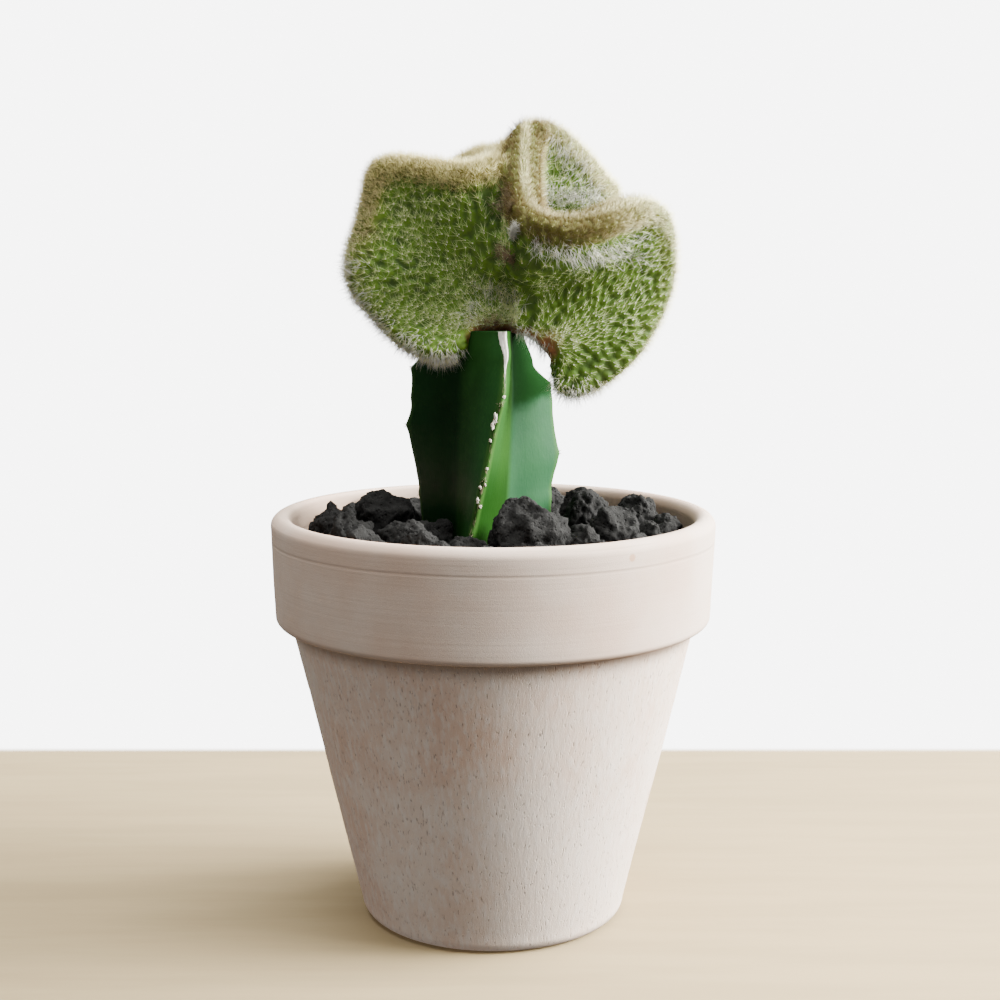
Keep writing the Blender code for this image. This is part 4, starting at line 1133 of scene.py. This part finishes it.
class Fan:
    """The crest's middle surface, to look up points by column and by the way in from the growing edge."""

    def __init__(self):
        self.rows = crest_sheet()
        self.runs = []
        for i in range(CREST_COLUMNS):
            run = [0.0]
            for j in range(CREST_ROWS - 1, 0, -1):
                run.append(run[-1] + (self.rows[j][i] - self.rows[j - 1][i]).length)
            self.runs.append(run)

    def on_column(self, i, way_in):
        """The point on one column at that way in from the edge, or None past the column's foot."""
        run = self.runs[i]
        if way_in > run[-1]:
            return None
        k = max(1, bisect.bisect_left(run, way_in))
        share = (way_in - run[k - 1]) / (run[k] - run[k - 1])
        last = CREST_ROWS - 1
        return self.rows[last - k + 1][i].lerp(self.rows[last - k][i], share)

    def point(self, column, way_in):
        """The point between two columns, or None."""
        i = min(CREST_COLUMNS - 2, int(column))
        a, b = self.on_column(i, way_in), self.on_column(i + 1, way_in)
        return a.lerp(b, column - i) if a and b else None

    def frame_at(self, column, way_in):
        """Point, way out to the edge, and the surface's normal there, or None."""
        step = 0.0006
        near = max(0.0, way_in - step)
        here, outer, inner = (self.point(column, w) for w in (way_in, near, near + 2 * step))
        left = self.point(max(0.0, column - 0.5), way_in)
        right = self.point(min(CREST_COLUMNS - 1.0, column + 0.5), way_in)
        if not (here and outer and inner and left and right):
            return None
        out = (outer - inner).normalized()
        normal = (right - left).cross(out)
        if normal.length < 1e-9:
            return None
        return here, out, normal.normalized()

    def samples(self, columns, rows):
        """Points over the whole fan with their way in from the edge and the growth of the edge there."""
        for c in range(columns):
            column = (CREST_COLUMNS - 1) * c / (columns - 1)
            growth = edge_look(column)[0]
            longest = min(self.runs[int(column)][-1], self.runs[min(CREST_COLUMNS - 1, int(column) + 1)][-1])
            for r in range(rows):
                way_in = longest * r / (rows - 1)
                point = self.point(column, way_in)
                if point:
                    yield point, way_in, growth


def edge_look(column):
    """The growing edge at a column: growth, tan, brightness and the crown's brightness, each from 0 to 1."""
    share = column / (CREST_COLUMNS - 1)
    for low, high in zip(EDGE_LOOKS, EDGE_LOOKS[1:]):
        if share <= high[0]:
            part = (share - low[0]) / (high[0] - low[0])
            return tuple(a + (b - a) * part for a, b in zip(low[1:], high[1:]))
    return EDGE_LOOKS[-1][1:]


def areoles_on(fan, flesh, spacing):
    """Areoles in rings that follow the growing edge, as (place, skin's normal, way out, way in, edge's look).

    The way in is counted from the rim's middle, round the rim and then along the skin.
    """
    draw = random.Random(29)
    found = []
    ring = 0
    while True:
        run = spacing * 0.9 * ring
        way_in = HALF_THICKNESS + max(0.0, run - QUARTER_ROUND)
        line = [fan.on_column(i, way_in) for i in range(CREST_COLUMNS)]
        if not any(line):
            return found
        left = spacing * (0.5 if ring % 2 else 0.0)
        for i in range(CREST_COLUMNS - 1):
            a, b = line[i], line[i + 1]
            if not (a and b):
                continue
            length = (b - a).length
            while left < length:
                stray = spacing * AREOLE_JITTER if ring > 1 else 0.0
                spot = fan.frame_at(i + left / length, way_in + draw.uniform(-stray, stray))
                left += spacing + draw.uniform(-stray, stray)
                if not spot:
                    continue
                here, out, normal = spot
                lean = min(math.pi / 2, run / HALF_THICKNESS)
                for side in (1.0, -1.0) if ring else (1.0,):
                    hit, skin, _, away = flesh.ray_cast(here, out * math.cos(lean) + normal * math.sin(lean) * side)
                    if hit and away < HALF_THICKNESS * AREOLE_SKIN:
                        found.append((hit, skin, out, run, edge_look(i)))
            left -= length
        ring += 1


class Tubercles:
    """The crest's tubercles, one under each areole."""

    def __init__(self, areoles, spacing):
        self.areoles, self.spacing = areoles, spacing
        self.tree = points_tree([place for place, *_ in areoles])

    def height(self, point):
        """1 on top of a tubercle and 0 between them; each is longer on the side away from the edge."""
        place, index, _ = self.tree.find(point)
        out = self.areoles[index][2]
        away = point - place
        along = away.dot(out)
        across = (away - out * along).length
        along = along / 1.35 if along < 0 else along
        share = math.hypot(along, across) / (self.spacing * 0.55)
        return max(0.0, 1.0 - share * share)


class CACTUS_OT_crest(bpy.types.Operator):
    """Grow the folded fan of the crest"""
    bl_idname = "cactus.crest"
    bl_label = "Crest"

    def execute(self, context):
        settings = context.scene.cactus_crest
        fan = Fan()
        bm = bmesh.new()
        to_grid(bm, CREST_COLUMNS, CREST_ROWS, lambda column, row: fan.rows[row][column])
        piece = new_piece("crest_flesh", bm)
        flesh = piece.modifiers.new("flesh", "SOLIDIFY")
        flesh.thickness = CREST_THICKNESS
        flesh.offset = 0.0
        grown = piece.modifiers.new("grown together", "REMESH")
        grown.mode = "VOXEL"
        grown.voxel_size = CREST_VOXEL
        soft = piece.modifiers.new("soft edges", "SMOOTH")
        soft.factor, soft.iterations = SOFTEN_FACTOR, SOFTEN_ROUNDS
        fine = piece.modifiers.new("fine skin", "SUBSURF")
        fine.levels = fine.render_levels = 2
        apply_modifiers(piece)
        areoles = areoles_on(fan, tree_of(piece), settings.tubercle_spacing)
        tubercles = Tubercles(areoles, settings.tubercle_spacing)
        self.raise_skin(piece, tubercles, settings.tubercle_height)
        self.seat(piece)
        self.mark(piece, fan, tubercles)
        piece.data.materials.clear()
        piece.data.materials.append(flesh_finish(settings))
        smooth_shade(piece)
        hand_in(piece, "crest_skin", "crest")
        return {"FINISHED"}

    def raise_skin(self, piece, tubercles, height):
        """Pushes the skin out on the tubercles and in between them."""
        shifts = [vert.normal * height * (tubercles.height(vert.co) - 0.45) for vert in piece.data.vertices]
        for vert, shift in zip(piece.data.vertices, shifts):
            vert.co += shift
        piece.data.update()

    def seat(self, piece):
        """Cuts the flesh where the stem stands in it."""
        stem = new_piece("stem_seat", stock_skin(STOCK_TOP - SEAT_DEPTH, swell=SEAT_GAP))
        cut = piece.modifiers.new("seat", "BOOLEAN")
        cut.operation, cut.solver, cut.object = "DIFFERENCE", "MANIFOLD", stem
        apply_modifiers(piece)
        bpy.data.objects.remove(stem)

    def mark(self, piece, fan, tubercles):
        """Stores what the skin's colours follow."""
        samples = list(fan.samples(columns=600, rows=60))
        tree = points_tree([point for point, _, _ in samples])
        base = smooth_path(CREST_BASE, 40)[::4]
        marks = []
        for vert in piece.data.vertices:
            _, way_in, growth = samples[tree.find(vert.co)[1]]
            graft = min((vert.co - point).length for point in base)
            marks.append((way_in / MILLIMETRE, growth, graft / MILLIMETRE, tubercles.height(vert.co)))
        store_marks(piece.data, ("way_in", "growth", "graft", "tubercle"), marks)


class CACTUS_OT_spines(bpy.types.Operator):
    """Set spines on the crest's areoles"""
    bl_idname = "cactus.spines"
    bl_label = "Spines"

    def execute(self, context):
        settings, crest = context.scene.cactus_spines, context.scene.cactus_crest
        fan, flesh = Fan(), tree_of(bpy.data.objects["crest_flesh"])
        stem = BVHTree.FromBMesh(stock_skin())
        draw = random.Random(31)
        spines, cushions = Scatter(), Scatter()
        for place, skin, out, run, (growth, tan, bright, _) in areoles_on(fan, flesh, crest.tubercle_spacing):
            if stem.find_nearest(place)[3] < STEM_CLEARANCE:
                continue
            rim = clamped(1.5 - run / RIM_REACH)
            young = rim * tan
            lit = 1.0 - rim * (1.0 - bright)
            across = skin.cross(out)
            if across.length < 0.1:
                across = skin.cross(Vector((0.3, 0.5, 0.8)))
            across.normalize()
            up = across.cross(skin).normalized()
            size = CUSHION_RADIUS + CUSHION_SPREAD * draw.random()
            cushions.add(place + skin * 0.00005, skin, draw.uniform(0, FULL_TURN), (size, size, size * 0.7),
                         draw.uniform(0.7, 1.0) * lit, young)
            comb, drift = draw.uniform(0.5, 1.2), draw.gauss(0, 0.3)
            full = self.thinned(lit, place)
            grown = 0.75 + 0.35 * min(1.0, growth * 3 + run / 0.02)
            for k in range(round(full * (settings.spine_count + draw.choice((-2, -1, 0, 1))))):
                turn = 2 * math.pi * (k + draw.uniform(-0.4, 0.4)) / settings.spine_count
                lift = draw.uniform(0.15, 0.6) if k % 3 else draw.uniform(0.6, 1.5)
                way = (up * math.sin(turn) + across * math.cos(turn) + skin * lift + up * comb + across * drift)
                way.normalize()
                length = settings.spine_length * draw.uniform(0.45, 1.15) * grown
                spines.add(place - way * ROOT_DEPTH, way, draw.uniform(0, FULL_TURN),
                           (settings.spine_radius, settings.spine_radius, length),
                           draw.uniform(0.35, 1.0) * lit, young)
        material = needle_finish("crest_spines", settings.cream, settings.tan, (0.22, 0.24, 0.07))
        piece = spines.piece("crest_spines", needle_shape("spine_shape"), material)
        hand_in(piece, "crest_skin")
        bm = bmesh.new()
        bmesh.ops.create_icosphere(bm, subdivisions=1, radius=1.0)
        wool = needle_finish("areole_wool", settings.white, settings.tan, (0.5, 0.45, 0.3), 0.8)
        piece = cushions.piece("crest_areoles", new_piece("cushion_shape", bm), wool)
        store(piece.data, "along", [1.0] * len(piece.data.vertices))
        smooth_shade(piece)
        hand_in(piece, "crest_skin")
        return {"FINISHED"}

    def thinned(self, full, place):
        """The share of its spines that an areole has at a place."""
        for middle, radius, less in SPARSE:
            full -= less * max(0.0, 1.0 - ((place - Vector(middle)).length / radius) ** 2)
        return full


class CACTUS_OT_fur(bpy.types.Operator):
    """Set the dense young spines along the growing edge"""
    bl_idname = "cactus.fur"
    bl_label = "Growing edge"

    def execute(self, context):
        settings = context.scene.cactus_spines
        fan, flesh = Fan(), tree_of(bpy.data.objects["crest_flesh"])
        draw = random.Random(37)
        fur = Scatter()
        while len(fur.spots) < settings.fur_count:
            column = draw.uniform(0, CREST_COLUMNS - 1)
            growth, tan, bright, crest_line = edge_look(column)
            if draw.random() > 0.10 + 0.90 * growth:
                continue
            reach = QUARTER_ROUND * (0.45 + 0.55 * growth) + FUR_REACH * growth
            round_rim = draw.uniform(-reach, reach)
            past = max(0.0, abs(round_rim) - QUARTER_ROUND)
            if draw.random() < past / FUR_REACH * 0.75:
                continue
            spot = fan.frame_at(column, HALF_THICKNESS + past)
            if not spot:
                continue
            here, out, normal = spot
            if past:
                ray = normal * math.copysign(1.0, round_rim)
            else:
                turn = round_rim / HALF_THICKNESS
                ray = out * math.cos(turn) + normal * math.sin(turn)
            hit, skin, _, away = flesh.ray_cast(here, ray)
            if hit is None or away > HALF_THICKNESS * FUR_SKIN:
                continue
            lean = stray_vector(draw) * FUR_LEAN
            way = (skin + out * (0.25 + past / FUR_REACH * 0.5) + lean).normalized()
            length = settings.fur_length * draw.uniform(0.55, 1.1)
            radius = settings.spine_radius * FUR_FINENESS
            crown = min(1.0, max(0.0, 1.0 - abs(round_rim) / CROWN_REACH) * 1.5)
            shade = draw.uniform(0.45, 0.95) * bright
            # painted shade: young spines on skin that faces away from the lights, to the left, darker
            if skin.x < 0:
                shade *= 1.0 + skin.x * (1.0 - bright)
            # painted highlight: the spines along the rim's middle brighter
            shade += (1.0 - shade) * crown * crest_line
            # painted shade: the young spines darker towards the crevice's middle
            shade *= min(1.0, (hit - Vector(CREVICE)).length / CREVICE_SHADE_REACH)
            fur.add(hit - way * ROOT_DEPTH, way, draw.uniform(0, FULL_TURN), (radius, radius, length),
                    shade, tan * draw.uniform(0.7, 1.0) * (1.0 - 0.6 * crown))
        material = needle_finish("edge_fur", settings.edge_cream, settings.tan, (0.080, 0.050, 0.004),
                                 depth=1.0, gloss=0.2)
        piece = fur.piece("crest_fur", needle_shape("fur_shape"), material)
        hand_in(piece, "crest_skin")
        return {"FINISHED"}


class CACTUS_OT_wool(bpy.types.Operator):
    """Grow the white wool in the folds, at the graft and under the lobes"""
    bl_idname = "cactus.wool"
    bl_label = "Wool"

    def execute(self, context):
        settings = context.scene.cactus_spines
        flesh = tree_of(bpy.data.objects["crest_flesh"])
        draw = random.Random(41)
        hairs = Scatter()
        for patches, brown, share in ((WOOL, 0.0, 1.0), (BROWN_WOOL, 1.0, 0.6)):
            for place, radius, count, way, shine in patches:
                for _ in range(count):
                    stray = stray_vector(draw, 0.5) * radius
                    root, skin, _, _ = flesh.find_nearest(Vector(place) + stray)
                    lean = stray_vector(draw) * WOOL_LEAN
                    aim = (Vector(way) * 0.75 + skin * 0.55 + lean).normalized()
                    length = settings.wool_length * draw.uniform(0.45, 1.1) * share
                    hairs.add(root - aim * ROOT_DEPTH, aim, draw.uniform(0, FULL_TURN),
                              (HAIR_RADIUS, HAIR_RADIUS, length), shine * draw.uniform(0.7, 1.0), brown)
        material = needle_finish("crest_wool", settings.white, settings.brown, (0.30, 0.26, 0.18), 0.7)
        piece = hairs.piece("crest_wool", needle_shape("hair_shape"), material)
        hand_in(piece, "crest_skin")
        return {"FINISHED"}


class CACTUS_OT_stage(bpy.types.Operator):
    """Lay the floor and set lights and camera"""
    bl_idname = "cactus.stage"
    bl_label = "Floor, lights and camera"

    def execute(self, context):
        stage = context.scene.cactus_stage
        bm = bmesh.new()
        bmesh.ops.create_grid(bm, x_segments=8, y_segments=8, size=FLOOR_HALF)
        floor = Finish("pale_floor", Specular_IOR_Level=0.2)
        cloud = floor.noise(8.0, 5.0, 0.6, (1.0, 9.0, 1.0)).within(0.35, 0.65)
        fade = (1 - floor.along("Y").within(0.130, 0.136)) * (1 - floor.off_axis().within(0.34, 0.58))
        floor.shades(Base_Color=floor.mix(cloud, stage.floor, tuple(c * 0.90 for c in stage.floor)),
                     Roughness=cloud * 0.1 + 0.6, Alpha=fade)
        piece = new_piece("floor", bm, floor.material)
        piece.visible_diffuse = False
        for name, azimuth, elevation, size in LIGHTS:
            self.light(name, azimuth, elevation, size, getattr(stage, name + "_power"))
        self.room(stage.room)
        lens = bpy.data.cameras.new("camera")
        camera = bpy.data.objects.new("camera", lens)
        context.scene.collection.objects.link(camera)
        lens.lens, lens.sensor_width, lens.shift_x = CAMERA_LENS, CAMERA_SENSOR, CAMERA_SHIFT
        lens.clip_start = 0.01
        camera.location = CAMERA_PLACE
        camera.rotation_euler = (math.pi / 2 - CAMERA_DIP, 0.0, 0.0)
        context.scene.camera = camera
        return {"FINISHED"}

    def light(self, name, azimuth, elevation, size, power):
        """A square soft light, by its angles round the plant: azimuth 0 is the viewer's side, 90 the right."""
        lamp = bpy.data.lights.new(name, "AREA")
        lamp.shape, lamp.size, lamp.energy, lamp.color = "SQUARE", size, power, LIGHT_COLOUR
        made = bpy.data.objects.new(name, lamp)
        bpy.context.scene.collection.objects.link(made)
        turn, rise = math.radians(azimuth), math.radians(elevation)
        way = Vector((math.sin(turn) * math.cos(rise), -math.cos(turn) * math.cos(rise), math.sin(rise)))
        made.location = way * LIGHT_DISTANCE + Vector((0.0, 0.0, LIGHT_AIM))
        made.rotation_euler = way.to_track_quat("Z", "Y").to_euler()

    def room(self, strength):
        """A white room: bright to look at, softer as a light."""
        world = bpy.data.worlds.new("room")
        world.use_nodes = True
        tree = world.node_tree
        backdrop = next(n for n in tree.nodes if n.type == "BACKGROUND")
        backdrop.inputs["Color"].default_value = (1.0, 1.0, 1.0, 1.0)
        seen = tree.nodes.new("ShaderNodeLightPath")
        bright = tree.nodes.new("ShaderNodeMapRange")
        bright.inputs["To Min"].default_value = strength
        bright.inputs["To Max"].default_value = BACKDROP_BRIGHTNESS
        tree.links.new(seen.outputs["Is Camera Ray"], bright.inputs["Value"])
        tree.links.new(bright.outputs[0], backdrop.inputs["Strength"])
        bpy.context.scene.world = world


class CACTUS_PT_panel(bpy.types.Panel):
    """Settings and steps of the potted cactus"""
    bl_label = "Potted crested cactus"
    bl_idname = "CACTUS_PT_panel"
    bl_space_type = "VIEW_3D"
    bl_region_type = "UI"
    bl_category = "Cactus"

    def draw(self, context):
        for group, operators in STEPS:
            box = self.layout.box()
            settings = getattr(context.scene, group)
            for name in settings.__annotations__:
                box.prop(settings, name)
            for operator in operators:
                box.operator(operator.bl_idname)


SETTINGS = {
    "cactus_pot": PotSettings,
    "cactus_stones": StoneSettings,
    "cactus_stock": StockSettings,
    "cactus_crest": CrestSettings,
    "cactus_spines": SpineSettings,
    "cactus_stage": StageSettings,
}
STEPS = (
    ("cactus_pot", (CACTUS_OT_pot,)),
    ("cactus_stones", (CACTUS_OT_soil, CACTUS_OT_stones)),
    ("cactus_stock", (CACTUS_OT_stock,)),
    ("cactus_crest", (CACTUS_OT_crest,)),
    ("cactus_spines", (CACTUS_OT_spines, CACTUS_OT_fur, CACTUS_OT_wool)),
    ("cactus_stage", (CACTUS_OT_stage,)),
)


def register():
    for name, group in SETTINGS.items():
        bpy.utils.register_class(group)
        setattr(bpy.types.Scene, name, bpy.props.PointerProperty(type=group))
    for _, operators in STEPS:
        for operator in operators:
            bpy.utils.register_class(operator)
    bpy.utils.register_class(CACTUS_PT_panel)


def unregister():
    bpy.utils.unregister_class(CACTUS_PT_panel)
    for _, operators in STEPS:
        for operator in operators:
            bpy.utils.unregister_class(operator)
    for name, group in SETTINGS.items():
        delattr(bpy.types.Scene, name)
        bpy.utils.unregister_class(group)


def main():
    register()
    bpy.ops.cactus.pot()
    bpy.ops.cactus.soil()
    bpy.ops.cactus.stones()
    bpy.ops.cactus.stock()
    bpy.ops.cactus.crest()
    bpy.ops.cactus.spines()
    bpy.ops.cactus.fur()
    bpy.ops.cactus.wool()
    bpy.ops.cactus.stage()


if __name__ == "__main__":
    main()
